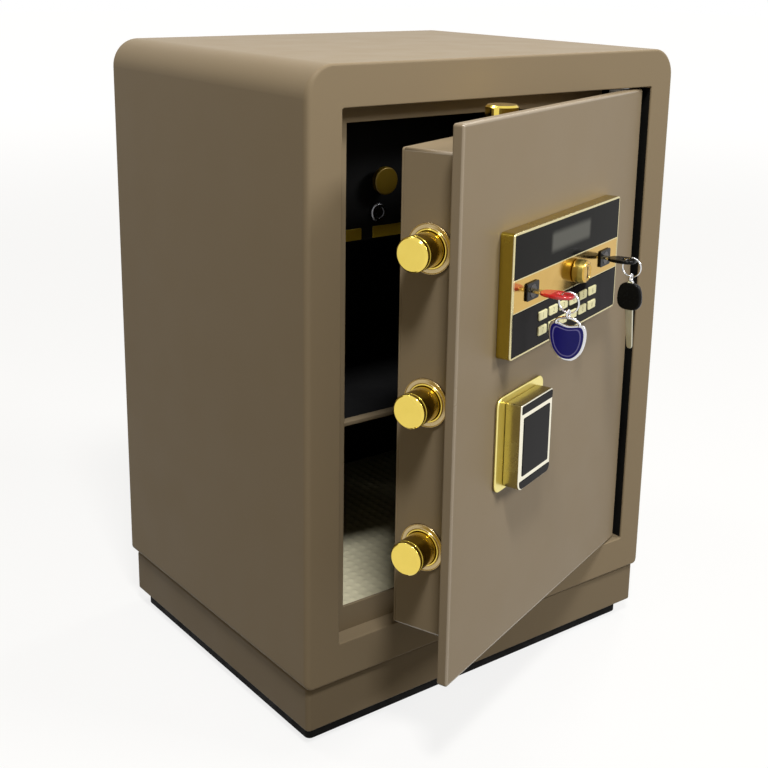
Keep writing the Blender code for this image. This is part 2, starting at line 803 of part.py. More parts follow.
side_slide = frame("side_bolt_slide", (BOX_L, BOLT_Y, BOLT_LOW), door)
for i in range(BOLT_COUNT):
    z = BOLT_LOW + (BOLT_HIGH - BOLT_LOW) * i / (BOLT_COUNT - 1)
    spot = (BOX_L, BOLT_Y, z)
    turned("bolt_bush_%d" % (i + 1), bush_profile, spot, (-1, 0, 0), BRASS, door, ring=True)
    turned("side_bolt_%d" % (i + 1), bolt_profile(BOLT_OUT), spot, (-1, 0, 0), BRASS, side_slide)
    bolt_hole("bush_cut_%d" % (i + 1), spot, (-1, 0, 0))

# The bolt bar ties the side bolts together, and its arm carries a pin into the cam's slot
BAR_X = BOX_L + BOLT_L - BOLT_OUT + SEAT
bar = box(
    "bolt_bar",
    (BAR_X, BOLT_Y - BAR_W / 2, BOLT_LOW - BAR_END),
    (BAR_X + BAR_T, BOLT_Y + BAR_W / 2, BOLT_HIGH + BAR_END),
    STEEL,
    side_slide,
)
SIDE_PIN_X = HANDLE_AX - PIN_START
arm = box(
    "bar_arm",
    (BAR_X, ARM_Y, HANDLE_Z - ARM_W / 2),
    (SIDE_PIN_X + ARM_W / 2, ARM_Y + ARM_T, HANDLE_Z + ARM_W / 2),
    None,
    side_slide,
    cutter=True,
)
foot = box(
    "bar_foot",
    (BAR_X, ARM_Y, HANDLE_Z - ARM_W / 2),
    (BAR_X + BAR_T, BOLT_Y, HANDLE_Z + ARM_W / 2),
    None,
    side_slide,
    cutter=True,
)
PIN_TIP = CAM_Y - SEAT
side_pin = cylinder(
    "bar_pin",
    FOLLOWER_R,
    (SIDE_PIN_X, PIN_TIP, HANDLE_Z),
    (SIDE_PIN_X, ARM_Y + ARM_T / 2, HANDLE_Z),
    None,
    side_slide,
    cutter=True,
    sides=PIN_SIDES,
)
join(bar, foot, arm, side_pin)

# Top and bottom bolts, each on a lift plate with its own pin in the cam
for end, sign, edge_z in (("top", 1, BOX_TOP), ("bottom", -1, BOX_B)):
    spot = Vector((END_BOLT_AX, BOLT_Y, edge_z))
    axis = Vector((0, 0, sign))
    turned("bolt_bush_" + end, bush_profile, spot, axis, BRASS, door, ring=True)
    bolt_hole("bush_cut_" + end, spot, axis)
    slide = frame(end + "_bolt_slide", spot, door)
    bolt = turned(end + "_bolt", bolt_profile(END_BOLT_OUT), spot, axis, BRASS, slide)
    inner = edge_z - sign * (BOLT_L - END_BOLT_OUT)
    pin_z = HANDLE_Z + sign * PIN_START
    far = inner + sign * ARM_W
    near = pin_z - sign * ARM_W / 2
    lift_l = HANDLE_AX - LIFT_W / 2
    lift_r = END_BOLT_AX + LIFT_W / 2
    lift = box(
        end + "_lift",
        (lift_l, ARM_Y, min(near, far)),
        (lift_r, ARM_Y + ARM_T, max(near, far)),
        None,
        slide,
        cutter=True,
    )
    link = box(
        end + "_link",
        (END_BOLT_AX - LIFT_W / 2, ARM_Y + ARM_T / 2, min(inner - sign * ARM_W / 2, far)),
        (END_BOLT_AX + LIFT_W / 2, BOLT_Y, max(inner - sign * ARM_W / 2, far)),
        None,
        slide,
        cutter=True,
    )
    pin = cylinder(
        end + "_pin",
        FOLLOWER_R,
        (HANDLE_AX, PIN_TIP, pin_z),
        (HANDLE_AX, ARM_Y + ARM_T / 2, pin_z),
        None,
        slide,
        cutter=True,
        sides=PIN_SIDES,
    )
    join(bolt, link, lift, pin)

# Handle: a fixed rose plate, a block that turns, a black glass in its face, and the cam on its spindle
handle = frame("handle_axis", (HANDLE_AX, FACE_Y, HANDLE_Z), door)
ROSE_Y = FACE_Y - SEAT - PLATE_T
rose = rounded((-PLATE_W / 2, -PLATE_DROP), (PLATE_W / 2, PLATE_RISE), (PLATE_R,) * 4)
rose_bore = circle(0, SPINDLE_R + RUN, 16)
plate("handle_plate", [rose, rose_bore], PLATE_T, (HANDLE_AX, ROSE_Y + PLATE_T / 2, HANDLE_Z), GOLD, door)
BLOCK_BACK = ROSE_Y - SEAT
BLOCK_FACE = BLOCK_BACK - HANDLE_T
grip_outline = rounded((-HANDLE_W / 2, -HANDLE_H / 2), (HANDLE_W / 2, HANDLE_H / 2), (HANDLE_R,) * 4, 4)
grip_at = (HANDLE_AX, (BLOCK_BACK + BLOCK_FACE) / 2, HANDLE_Z)
grip = plate("handle_block", [grip_outline], HANDLE_T, grip_at, GOLD, handle)
GLASS_DEEP = GLASS_T - GLASS_SINK
POCKET_W = HANDLE_W / 2 - GLASS_BORDER
POCKET_H = HANDLE_H / 2 - GLASS_BORDER
glass_cut = box(
    "glass_cut",
    (HANDLE_AX - POCKET_W, BLOCK_FACE - CUT, HANDLE_Z - POCKET_H),
    (HANDLE_AX + POCKET_W, BLOCK_FACE + GLASS_DEEP + SEAT, HANDLE_Z + POCKET_H),
    None,
    handle,
    cutter=True,
)
cut(grip, glass_cut)
box(
    "handle_glass",
    (HANDLE_AX - POCKET_W + SEAT, BLOCK_FACE - GLASS_SINK, HANDLE_Z - POCKET_H + SEAT),
    (HANDLE_AX + POCKET_W - SEAT, BLOCK_FACE + GLASS_DEEP, HANDLE_Z + POCKET_H - SEAT),
    BLACK,
    handle,
    edge=GLASS_EDGE,
)

cam_outline = circle(0, CAM_R, 60)
RATE = THROW / TURN


def spiral(start):
    """A slot in the cam: the pin's path is a spiral that draws in evenly as the cam turns."""
    half = FOLLOWER_R + RUN
    steps = 16
    early = (half + SEAT) / PIN_START
    late = (half + SEAT) / (PIN_START - THROW)
    left, right = [], []
    for i in range(steps + 1):
        turn = -early + (TURN + early + late) * i / steps
        r = PIN_START - RATE * turn
        a = start + turn
        point = Vector((r * math.cos(a), r * math.sin(a)))
        inward = Vector((math.cos(a), math.sin(a))) * -RATE
        around = Vector((-math.sin(a), math.cos(a))) * r
        travel = (inward + around).normalized()
        side = Vector((-travel.y, travel.x)) * half
        left.append(tuple(point + side))
        right.append(tuple(point - side))
    return left + right[::-1]


slots = [spiral(start) for start in (math.pi / 2, math.pi, 3 * math.pi / 2)]
cam = plate("cam_disc", [cam_outline] + slots, CAM_T, (HANDLE_AX, CAM_Y + CAM_T / 2, HANDLE_Z), STEEL, handle)
spindle = cylinder(
    "spindle",
    SPINDLE_R,
    (HANDLE_AX, BLOCK_BACK + SEAT, HANDLE_Z),
    (HANDLE_AX, CAM_Y + CAM_T / 2, HANDLE_Z),
    None,
    handle,
    cutter=True,
    sides=SMALL_SIDES,
)
join(cam, spindle)

# Keypad lock: a gold housing with a pocket above and below its strip
housing_outline = rounded(
    (-HOUSING_W / 2, -HOUSING_H / 2), (HOUSING_W / 2, HOUSING_H / 2), (HOUSING_R,) * 4, 4
)
housing = plate(
    "lock_housing", [housing_outline], HOUSING_T, (LOCK_AX, HOUSING_Y + HOUSING_T / 2, LOCK_MID_Z), GOLD, door
)
POCKET_X = HOUSING_W / 2 - BEZEL
POCKET_LOW = STRIP_H / 2
POCKET_HIGH = HOUSING_H / 2 - BEZEL
POCKET_Y = HOUSING_Y + POCKET_D
for end, low, high in (
    ("upper", LOCK_MID_Z + POCKET_LOW, LOCK_MID_Z + POCKET_HIGH),
    ("lower", LOCK_MID_Z - POCKET_HIGH, LOCK_MID_Z - POCKET_LOW),
):
    pocket = box(
        "pocket_" + end,
        (LOCK_AX - POCKET_X, HOUSING_Y - CUT, low),
        (LOCK_AX + POCKET_X, POCKET_Y, high),
        None,
        door,
        cutter=True,
    )
    cut(housing, pocket)
cut(housing, left_hole, right_hole)
box(
    "display_panel",
    (LOCK_AX - POCKET_X + SEAT, HOUSING_Y, LOCK_MID_Z + POCKET_LOW + SEAT),
    (LOCK_AX + POCKET_X - SEAT, POCKET_Y - SEAT, LOCK_MID_Z + POCKET_HIGH - SEAT),
    BLACK,
    door,
    edge=DISPLAY_EDGE,
)
keypad = box(
    "keypad_plate",
    (LOCK_AX - POCKET_X + SEAT, HOUSING_Y, LOCK_MID_Z - POCKET_HIGH + SEAT),
    (LOCK_AX + POCKET_X - SEAT, HOUSING_Y + KEYPAD_T, LOCK_MID_Z - POCKET_LOW - SEAT),
    BLACK,
    door,
)
ROW_MID = LOCK_MID_Z - (POCKET_LOW + POCKET_HIGH) / 2
for row in range(BUTTON_ROWS):
    for col in range(BUTTON_COLS):
        number = row * BUTTON_COLS + col + 1
        x = LOCK_AX + BUTTON_SHIFT + (col - (BUTTON_COLS - 1) / 2) * BUTTON_PITCH_X
        z = ROW_MID + ((BUTTON_ROWS - 1) / 2 - row) * BUTTON_PITCH_Z
        hole = box(
            "button_cut_%02d" % number,
            (x - BUTTON_W / 2 - BUTTON_GAP, HOUSING_Y - CUT, z - BUTTON_H / 2 - BUTTON_GAP),
            (x + BUTTON_W / 2 + BUTTON_GAP, POCKET_Y + CUT, z + BUTTON_H / 2 + BUTTON_GAP),
            None,
            door,
            cutter=True,
        )
        cut(keypad, hole)
        box(
            "button_%02d" % number,
            (x - BUTTON_W / 2, HOUSING_Y - BUTTON_PROUD, z - BUTTON_H / 2),
            (x + BUTTON_W / 2, POCKET_Y - BUTTON_TRAVEL - SEAT, z + BUTTON_H / 2),
            KEYCAP,
            door,
            edge=BUTTON_EDGE,
        )

# Keyhole plates and the knob between them, on the gold strip
key_face = rounded((-KEYHOLE_W / 2, -KEYHOLE_H / 2), (KEYHOLE_W / 2, KEYHOLE_H / 2), (KEYHOLE_R,) * 4, 3)
plug_bore = circle(0, PLUG_HOLE, SMALL_SIDES)
KEYHOLE_Y = HOUSING_Y - SEAT - KEYHOLE_T / 2
for end, x in (("left", KEY_LEFT_X), ("right", KEY_RIGHT_X)):
    plate("keyhole_" + end, [key_face, plug_bore], KEYHOLE_T, (x, KEYHOLE_Y, KEY_Z), BLACK, door)
knob_axis = frame("knob_axis", (KNOB_AX, HOUSING_Y, LOCK_MID_Z), door)
turned(
    "centre_knob",
    [(0, KNOB_T), (KNOB_FLAT_R, KNOB_T), (KNOB_SHOULDER_R, KNOB_SHOULDER_T), (KNOB_R, KNOB_SIDE),
     (KNOB_R, 0), (0, 0)],
    (KNOB_AX, HOUSING_Y - SEAT, LOCK_MID_Z),
    OUT,
    GOLD,
    knob_axis,
    sides=BORE_SIDES,
)

# Keys: a turning plug, a blade and a flat bow, with a ring through the eye of the bow
PLUG_FACE = HOUSING_Y - SEAT - KEYHOLE_T - SEAT
PLUG_BACK = REAR_Y - SEAT


def wire_ring(name, radius, wire, axis, at, mat, parent, segments):
    """A round wire ring in the plane square to an axis, drawn round the point at."""
    bm = bmesh.new()
    circle = bmesh.ops.create_circle(bm, segments=8, radius=wire)
    bmesh.ops.rotate(bm, matrix=Matrix.Rotation(math.pi / 2, 3, "X"), verts=circle["verts"])
    bmesh.ops.translate(bm, vec=(radius, 0, 0), verts=circle["verts"])
    bmesh.ops.spin(
        bm, geom=bm.edges[:], cent=(0, 0, 0), axis=(0, 0, 1), angle=math.tau, steps=segments, use_merge=True
    )
    bmesh.ops.remove_doubles(bm, verts=bm.verts, dist=WELD)
    bmesh.ops.recalc_face_normals(bm, faces=bm.faces)
    bmesh.ops.transform(bm, matrix=along(axis), verts=bm.verts)
    mesh = bpy.data.meshes.new(name)
    bm.to_mesh(mesh)
    bm.free()
    mesh.shade_smooth()
    return add(name, mesh, at, mat, parent)


def make_key(end, x, blade_out, bow_l, ring_r, rim, mat):
    """A key in its plug, and its ring. The bow lies flat, and the ring hangs over the rim of the bow."""
    axis = frame("key_%s_axis" % end, (x, PLUG_FACE, KEY_Z), door)
    key = cylinder(
        "key_" + end, PLUG_R, (x, PLUG_FACE, KEY_Z), (x, PLUG_BACK, KEY_Z), mat, axis, sides=SMALL_SIDES
    )
    bow_y = PLUG_FACE - blade_out
    blade = box(
        "blade_" + end,
        (x - BLADE_W / 2, bow_y - BLADE_ROOT, KEY_Z - BLADE_T / 2),
        (x + BLADE_W / 2, PLUG_FACE + blade_out, KEY_Z + BLADE_T / 2),
        None,
        axis,
        cutter=True,
    )
    # The ring's inside just clears the upper edges of the rim, which is twice the rim size wide
    high = math.sqrt((ring_r - WIRE_R - SEAT) ** 2 - rim**2)
    ring_y = bow_y - bow_l + rim
    ring_z = KEY_Z + BOW_T / 2 - high
    eye_at = (math.sqrt(ring_r**2 - high**2) + math.sqrt(ring_r**2 - (high - BOW_T) ** 2)) / 2
    bow_outline = rounded(
        (-BOW_W / 2, bow_y - bow_l), (BOW_W / 2, bow_y), (BOW_TIP_R, BOW_TIP_R, BOW_HEEL_R, BOW_HEEL_R), 5
    )
    eye = circle(ring_y + eye_at, eye_at - rim, SMALL_SIDES)
    bow = plate("bow_" + end, [bow_outline, eye], BOW_T, (x, 0, KEY_Z), None, axis, (0, 0, 0), cutter=True)
    join(key, blade, bow)
    hang = frame("ring_%s_axis" % end, (x, ring_y, KEY_Z + BOW_T / 2), axis)
    wire_ring("ring_" + end, ring_r, WIRE_R, (1, 0, 0), (x, ring_y, ring_z), STEEL, hang, 36)
    return frame("%s_hang_axis" % end, (x, ring_y, ring_z - ring_r), hang)


left_hang = make_key("left", KEY_LEFT_X, LEFT_BLADE_OUT, LEFT_BOW_L, LEFT_RING_R, LEFT_RIM, RED)
right_hang = make_key("right", KEY_RIGHT_X, RIGHT_BLADE_OUT, RIGHT_BOW_L, RIGHT_RING_R, RIGHT_RIM, BLACK)

# The tag on the left ring: a blank shield under a short neck
HANG_DROP = EYE_R - EYE_WIRE - WIRE_R - SEAT
spot = PLACE[left_hang.name]
tag = wire_ring("tag_left", EYE_R, EYE_WIRE, OUT, spot - Vector((0, 0, HANG_DROP)), BLUE, left_hang, 20)
tag_top = -HANG_DROP - EYE_R - TAG_NECK
neck = cylinder(
    "tag_neck",
    EYE_WIRE,
    spot + Vector((0, 0, -HANG_DROP - EYE_R)),
    spot + Vector((0, 0, tag_top - TAG_H / 4)),
    None,
    left_hang,
    cutter=True,
    sides=NECK_SIDES,
)
shield = [(-TAG_W / 2, tag_top - TAG_SHOULDER), (-TAG_W / 2, tag_top - TAG_SIDE)]
shield += [(-TAG_CHIN_W, tag_top - TAG_CHIN), (0, tag_top - TAG_H), (TAG_CHIN_W, tag_top - TAG_CHIN)]
shield += [(TAG_W / 2, tag_top - TAG_SIDE), (TAG_W / 2, tag_top - TAG_SHOULDER), (0, tag_top)]
badge = plate("tag_badge", [shield], TAG_T, spot, None, left_hang, (math.pi / 2, 0, TAG_TURN), cutter=True)
join(tag, neck, badge)

# The spare key on the right ring: a bow under its loop, and a blade
spot = PLACE[right_hang.name]
spare = wire_ring("spare_key", EYE_R, EYE_WIRE, OUT, spot - Vector((0, 0, HANG_DROP)), BLACK, right_hang, 20)
bow_top = -HANG_DROP - EYE_R - SPARE_NECK
spare_outline = [(-SPARE_TOP_W, bow_top), (-SPARE_BOW_W / 2, bow_top - SPARE_SHOULDER)]
spare_outline += [(-SPARE_BOW_W / 2, bow_top - SPARE_HEEL), (-SPARE_HEEL_W, bow_top - SPARE_BOW_H)]
spare_outline += [(-x, z) for x, z in reversed(spare_outline)]
spare_neck = cylinder(
    "spare_neck",
    EYE_WIRE,
    spot + Vector((0, 0, -HANG_DROP - EYE_R)),
    spot + Vector((0, 0, bow_top - SPARE_BOW_H / 4)),
    None,
    right_hang,
    cutter=True,
    sides=NECK_SIDES,
)
spare_bow = plate(
    "spare_bow", [spare_outline], SPARE_BOW_T, spot, None, right_hang, (math.pi / 2, 0, TAG_TURN), cutter=True
)
blade_outline = rounded(
    (-SPARE_BLADE_W / 2, bow_top - SPARE_BOW_H - SPARE_BLADE_L),
    (SPARE_BLADE_W / 2, bow_top - SPARE_BOW_H / 2),
    (SPARE_TIP_R, SPARE_TIP_R, 0, 0),
    3,
)
spare_blade = plate(
    "spare_blade", [blade_outline], BLADE_T, spot, None, right_hang, (math.pi / 2, 0, TAG_TURN), cutter=True
)
join(spare, spare_neck, spare_bow, spare_blade)
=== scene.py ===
import json
import math

import bmesh
import bpy
import numpy as np
from mathutils import Matrix, Vector


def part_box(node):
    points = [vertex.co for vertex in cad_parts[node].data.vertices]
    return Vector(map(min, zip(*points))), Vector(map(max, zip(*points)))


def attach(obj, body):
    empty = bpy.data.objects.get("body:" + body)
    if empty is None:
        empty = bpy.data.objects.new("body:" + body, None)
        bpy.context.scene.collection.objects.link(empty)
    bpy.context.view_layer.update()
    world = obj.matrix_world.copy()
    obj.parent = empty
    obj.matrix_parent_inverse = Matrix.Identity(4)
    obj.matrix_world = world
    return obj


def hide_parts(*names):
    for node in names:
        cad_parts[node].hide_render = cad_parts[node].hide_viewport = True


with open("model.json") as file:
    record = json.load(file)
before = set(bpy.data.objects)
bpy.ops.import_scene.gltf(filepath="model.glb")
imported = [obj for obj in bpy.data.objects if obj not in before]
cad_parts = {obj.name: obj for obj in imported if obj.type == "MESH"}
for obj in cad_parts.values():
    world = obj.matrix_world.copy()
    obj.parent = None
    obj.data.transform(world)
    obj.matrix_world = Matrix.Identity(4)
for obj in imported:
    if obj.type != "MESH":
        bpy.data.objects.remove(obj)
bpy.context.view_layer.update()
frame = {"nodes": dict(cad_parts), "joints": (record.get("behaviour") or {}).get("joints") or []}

# Base pad
# A black rubber mat, moulded a little smaller than the plinth, which stands loose on it.
# The mould leaves its edges slightly round and its skin faintly pebbled. The black strip it shows
# under the plinth also stands in for the contact shadow there, so it is in part painted shadow.
PAD_CORNER, PAD_EDGE = 0.006, 0.0015
HOLD, CORNER_OVER_EDGE = 0.0004, 0.0005
NOISE_SPAN = (0.3, 0.7)
TOP = np.array([[1.0, 0, 0], [0, 1, 0], [0, 0, 1]])


def rounded_outline(u0, u1, v0, v1, radii, steps=8):
    """The outline of a rectangle with round corners, and the way out at each of its points.

    Each corner is a quarter circle about a centre one radius in from both sides, in the order
    top right, top left, bottom left, bottom right. Each straight side also holds a point just
    off each arc, so that it shades flat.
    """
    turn = np.concatenate([[0.0], np.linspace(0, 1, steps + 1), [1.0]])
    angle = (np.arange(4)[:, None] + turn) * (np.pi / 2)
    out = np.stack([np.cos(angle), np.sin(angle)], -1)
    along = np.stack([-np.sin(angle), np.cos(angle)], -1)
    slide = np.zeros(steps + 3)
    slide[[0, -1]] = -HOLD, HOLD
    radius = np.broadcast_to(np.array(radii, float), 4)[:, None]
    corners = np.array([[u1, v1], [u0, v1], [u0, v0], [u1, v0]])
    inward = np.array([[-1, -1], [1, -1], [1, 1], [-1, 1]])
    middles = (corners + radius * inward)[:, None]
    points = middles + radius[..., None] * out + slide[:, None] * along
    return points.reshape(-1, 2), out.reshape(-1, 2)


def edge_profile(w0, w1, front, back, steps=6, hold=HOLD):
    """How far a plate's outline is drawn in at each depth, from its back to its front.

    Over a quarter turn t an edge of radius e is drawn in by e(1 - cos t) and set back by
    e(1 - sin t). Points just off both ends of each edge keep the flats flat.
    """
    t = np.linspace(0, np.pi / 2, steps + 1)
    drawn = np.concatenate([
        [back + hold], back * (1 - np.cos(t[::-1])), [0.0, 0.0], front * (1 - np.cos(t)), [front + hold]
    ])
    depth = np.concatenate([
        [w0], w0 + back * (1 - np.sin(t[::-1])), [w0 + back + hold, w1 - front - hold],
        w1 - front * (1 - np.sin(t)), [w1]
    ])
    return drawn, depth


def loft(rings, closed=False):
    """Faces between rings of points that follow each other: capped at both ends, or joined end to end."""
    rows, count = rings.shape[:2]
    i, j = np.meshgrid(np.arange(rows if closed else rows - 1), np.arange(count), indexing="ij")
    k, n = (i + 1) % rows, (j + 1) % count
    quads = np.stack([i * count + j, i * count + n, k * count + n, k * count + j], -1).reshape(-1, 4)
    faces = quads.tolist()
    if not closed:
        ends = np.arange(rows * count).reshape(rows, count)
        faces += [ends[0][::-1].tolist(), ends[-1].tolist()]
    return rings.reshape(-1, 3), faces


def raised(flat, depth):
    """Rings of points (u, v, w) from flat outlines (u, v) and a depth w for each outline or point."""
    return np.concatenate([flat, np.broadcast_to(depth, flat.shape[:2] + (1,))], -1)


def plate(outline, out, drawn, depth, face):
    """An outline drawn in along its ways out at each depth. Its front looks along the last row of face."""
    points, faces = loft(raised(outline - out * drawn[:, None, None], depth[:, None, None]))
    return points @ face, faces


def slab(low, high, face, corner, edge, back=None):
    """A plate that fills a box, with round corners and rounded edges."""
    a, b = face @ np.array(low), face @ np.array(high)
    (u0, v0, w0), (u1, v1, w1) = np.minimum(a, b), np.maximum(a, b)
    outline, out = rounded_outline(u0, u1, v0, v1, np.maximum(corner, edge + CORNER_OVER_EDGE))
    return plate(outline, out, *edge_profile(w0, w1, edge, edge if back is None else back), face)


def placed(name, data):
    """A new object for a mesh, a curve, a lamp or a camera, linked to the scene."""
    obj = bpy.data.objects.new(name, data)
    bpy.context.scene.collection.objects.link(obj)
    return obj


def piece(name, shape, finish, body, slot, *nodes):
    """A smooth mesh that rides on a body and stands for CAD nodes. Its slot is not used.

    The signed volume of a closed mesh is positive when its faces look out, and they are turned
    over when it isn't.
    """
    points, faces = shape
    mesh = bpy.data.meshes.new(name)
    mesh.from_pydata(points.tolist(), [], faces)
    probe = bmesh.new()
    probe.from_mesh(mesh)
    if probe.calc_volume(signed=True) < 0:
        mesh.flip_normals()
    probe.free()
    mesh.shade_smooth()
    mesh.set_sharp_from_angle(angle=math.radians(40))
    mesh.materials.append(finish)
    obj = placed(name, mesh)
    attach(obj, body)
    if nodes:
        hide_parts(*nodes)
    return obj


def shader_node(tree, kind, inputs, **settings):
    """The outputs of a new shader node, with each of its inputs linked to a socket or set to a value."""
    made = tree.nodes.new("ShaderNode" + kind)
    for setting, value in settings.items():
        setattr(made, setting, value)
    for name, value in inputs.items():
        if isinstance(value, bpy.types.NodeSocket):
            tree.links.new(value, made.inputs[name])
        else:
            made.inputs[name].default_value = value
    return made.outputs


def mixed(tree, share, one, two):
    """A colour that runs from one to another as the share runs from 0 to 1."""
    return shader_node(tree, "Mix", {"A": one, "B": two, "Factor": share}, data_type="RGBA")["Result"]


def ramp(tree, value, span, to=(0.0, 1.0), curve="LINEAR"):
    """A value carried from one span to another, in a straight line or a smooth step."""
    ends = {"From Min": span[0], "From Max": span[1], "To Min": to[0], "To Max": to[1]}
    return shader_node(tree, "MapRange", {"Value": value, **ends}, interpolation_type=curve)["Result"]


def drifting(name, colour, other, patch, rough, metal=0.0, grain=0.0, grain_size=0.001, shine=0.5, **more):
    """A finish whose colour and roughness drift over patches of a size, with a fine raised grain.

    Two noises on Object coordinates mix the two colours and run the roughness between its two
    values. A third, at the grain's size, is the bump's height. The shine is the specular level.
    """
    made = bpy.data.materials.new(name)
    made.use_nodes = True
    tree = made.node_tree
    shader = tree.nodes["Principled BSDF"]
    for socket, value in {"Metallic": metal, "Specular IOR Level": shine, **more}.items():
        shader.inputs[socket.replace("_", " ")].default_value = value
    where = shader_node(tree, "TexCoord", {})["Object"]

    def noise(size, detail):
        return shader_node(tree, "TexNoise", {"Scale": 1 / size, "Detail": detail, "Vector": where})["Fac"]

    tone = mixed(tree, noise(patch, 3), (*colour, 1), (*other, 1))
    tree.links.new(tone, shader.inputs["Base Color"])
    tree.links.new(ramp(tree, noise(patch * 0.4, 4), NOISE_SPAN, rough), shader.inputs["Roughness"])
    if grain:
        height = {"Distance": grain, "Strength": 1.0, "Height": noise(grain_size, 2)}
        tree.links.new(shader_node(tree, "Bump", height)["Normal"], shader.inputs["Normal"])
    return made


# Black rubber, which also serves as painted shadow under the plinth.
rubber = drifting("black_rubber_and_painted_shadow", (0.006, 0.006, 0.006), (0.012, 0.011, 0.011), 0.03, (0.65, 0.85),
                  grain=0.00015, grain_size=0.002, shine=0.1)
shape = slab(*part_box("base_pad"), TOP, PAD_CORNER, PAD_EDGE)
piece("rubber_base_pad", shape, rubber, "cabinet", "black_rubber", "base_pad")

# Plinth
# A tray of sheet steel, bent and welded at its corners, powder coated like the body that rests on it.
# Its coat is painted darker than the body's: painted shade, low down near the floor.
# It is set in a little under the body, which leaves a shadow line all round.
PLINTH_CORNER, PLINTH_TOP_EDGE, PLINTH_FOOT_EDGE = 0.0045, 0.003, 0.0015


def powder_coat(name, colour, other, rough, shine):
    """Powder paint: colours that drift very little over a hand's width, and a fine even grain."""
    return drifting(name, colour, other, 0.11, rough, grain=0.00002, grain_size=0.0011, shine=shine)


taupe = powder_coat("taupe_powder_coat_skin", (0.256, 0.198, 0.124), (0.248, 0.192, 0.12), (0.42, 0.48), 0.08)
# The plinth's coat is darker than the body's, as painted shade near the floor.
plinth_painted_shade_coat = powder_coat("taupe_plinth_painted_shade", (0.205, 0.158, 0.099), (0.198, 0.153, 0.096), (0.44, 0.5), 0.08)
shape = slab(*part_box("plinth"), TOP, PLINTH_CORNER, PLINTH_TOP_EDGE, PLINTH_FOOT_EDGE)
piece("welded_plinth", shape, plinth_painted_shade_coat, "cabinet", "taupe_powder_coat", "plinth")

# Cabinet body
# One skin of powder-coated sheet: it wraps sides, top and floor, rolls over the front edges, runs across the
# face to the door opening, and turns in there as the jamb. Beside the pivot the jamb is painted black:
# painted shadow for the shade in the door's gap. The upright edges are rolled wider.
FRONT = np.array([[1.0, 0, 0], [0, 0, 1], [0, -1, 0]])
hinge = next(joint for joint in frame["joints"] if joint["name"] == "door_hinge")
PIVOT = np.array(hinge["pos_m"])
AJAR = -math.radians(hinge["range_deg"][0])
SWING = np.array([[math.cos(AJAR), -math.sin(AJAR), 0], [math.sin(AJAR), math.cos(AJAR), 0], [0, 0, 1]])


def shut_points(mesh):
    """The points of a mesh on the door, turned back about the pivot to where they are on the shut door."""
    points = np.empty(len(mesh.vertices) * 3, np.float32)
    mesh.vertices.foreach_get("co", points)
    return (points.reshape(-1, 3) - PIVOT) @ SWING + PIVOT


def shut_box(node):
    """The lowest and highest corner that a CAD node of the door has while the door is shut."""
    shut = shut_points(frame["nodes"][node].data)
    return shut.min(0), shut.max(0)


SHEET = 0.004
TOP_ROLL, FOOT_ROLL, SIDE_ROLL, END_ROLL = 0.027, 0.007, 0.005, 0.0022
OPENING_R, OPENING_EDGE, REAR_EDGE, FLAT = 0.0016, 0.001, 0.0008, 0.0006
GAP_FREE, GAP_HINGE, GAP_END = 0.0055, 0.0105, 0.002
CORNER_STEPS = 12
shell_low, shell_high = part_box("outer_shell")
frame_low, frame_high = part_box("front_frame")
slab_low, slab_high = shut_box("door_panel")
open_l, open_r = slab_low[0] - GAP_FREE, slab_high[0] + GAP_HINGE
open_b, open_t = slab_low[2] - GAP_END, slab_high[2] + GAP_END


def body_wrap():
    """Rings round the whole body section, from the rear rim forward, in through the opening and back.

    At the front edge a point is drawn in along its way out by r(1 - cos t) and set back by r(1 - sin t),
    where r is wide on the upright sides and narrow on the top and floor, as (way out)^2 mixes them.
    """
    def section(inset):
        rolls = np.array((TOP_ROLL, TOP_ROLL, FOOT_ROLL, FOOT_ROLL)) - inset
        return rounded_outline(shell_low.x + inset, shell_high.x - inset, shell_low.z + inset,
                               shell_high.z - inset, rolls, CORNER_STEPS)

    def doorway(outset):
        return rounded_outline(open_l - outset, open_r + outset, open_b - outset, open_t + outset,
                               OPENING_R, CORNER_STEPS)

    def level(flat, depth):
        return raised(flat.reshape(-1, len(outer), 2), depth)

    outer, out = section(0)
    inner = section(SHEET)[0]
    opening, out_open = doorway(0)
    jamb_back = doorway(SHEET)[0]
    front, rear, jamb_end = -frame_low.y, -shell_high.y, -frame_high.y
    roll = (SIDE_ROLL * out[:, 0] ** 2 + END_ROLL * out[:, 1] ** 2)[None, :, None]
    t = np.linspace(0, np.pi / 2, 9)[:, None, None]
    nose = outer - out * roll * (1 - np.cos(t))
    nose_depth = front - roll * (1 - np.sin(t))
    edge = opening + out_open * OPENING_EDGE * (1 - np.sin(t[::2]))
    edge_depth = front - OPENING_EDGE * (1 - np.cos(t[::2]))
    to_jamb = [
        level(outer - out * REAR_EDGE, rear),
        level(outer, rear + REAR_EDGE),
        level(outer, rear + REAR_EDGE + FLAT),
        level(outer, front - SIDE_ROLL - FLAT),
        level(nose, nose_depth),
        level(outer - out * (roll[0] + FLAT), front),
        level(opening + out_open * (OPENING_EDGE + FLAT), front),
        level(edge, edge_depth),
    ]
    jamb_and_inside = [
        level(opening, front - OPENING_EDGE - FLAT),
        level(opening, jamb_end),
        level(jamb_back, jamb_end),
        level(jamb_back, front - SHEET),
        level(inner, front - SHEET),
        level(inner, rear),
    ]
    points, faces = loft(np.concatenate(to_jamb + jamb_and_inside), closed=True)
    pivot_side = np.flatnonzero((out_open[:, 0] > 0.99) & (np.roll(out_open, -1, 0)[:, 0] > 0.99))
    jamb = sum(len(rings) for rings in to_jamb) * len(outer) + pivot_side
    return (points @ FRONT, faces), jamb


def second_finish(obj, finish, chosen):
    """Gives the chosen faces of a piece, as a mask or as their numbers, a second finish."""
    index = np.zeros(len(obj.data.polygons), np.int32)
    index[chosen] = 1
    obj.data.materials.append(finish)
    obj.data.polygons.foreach_set("material_index", index)


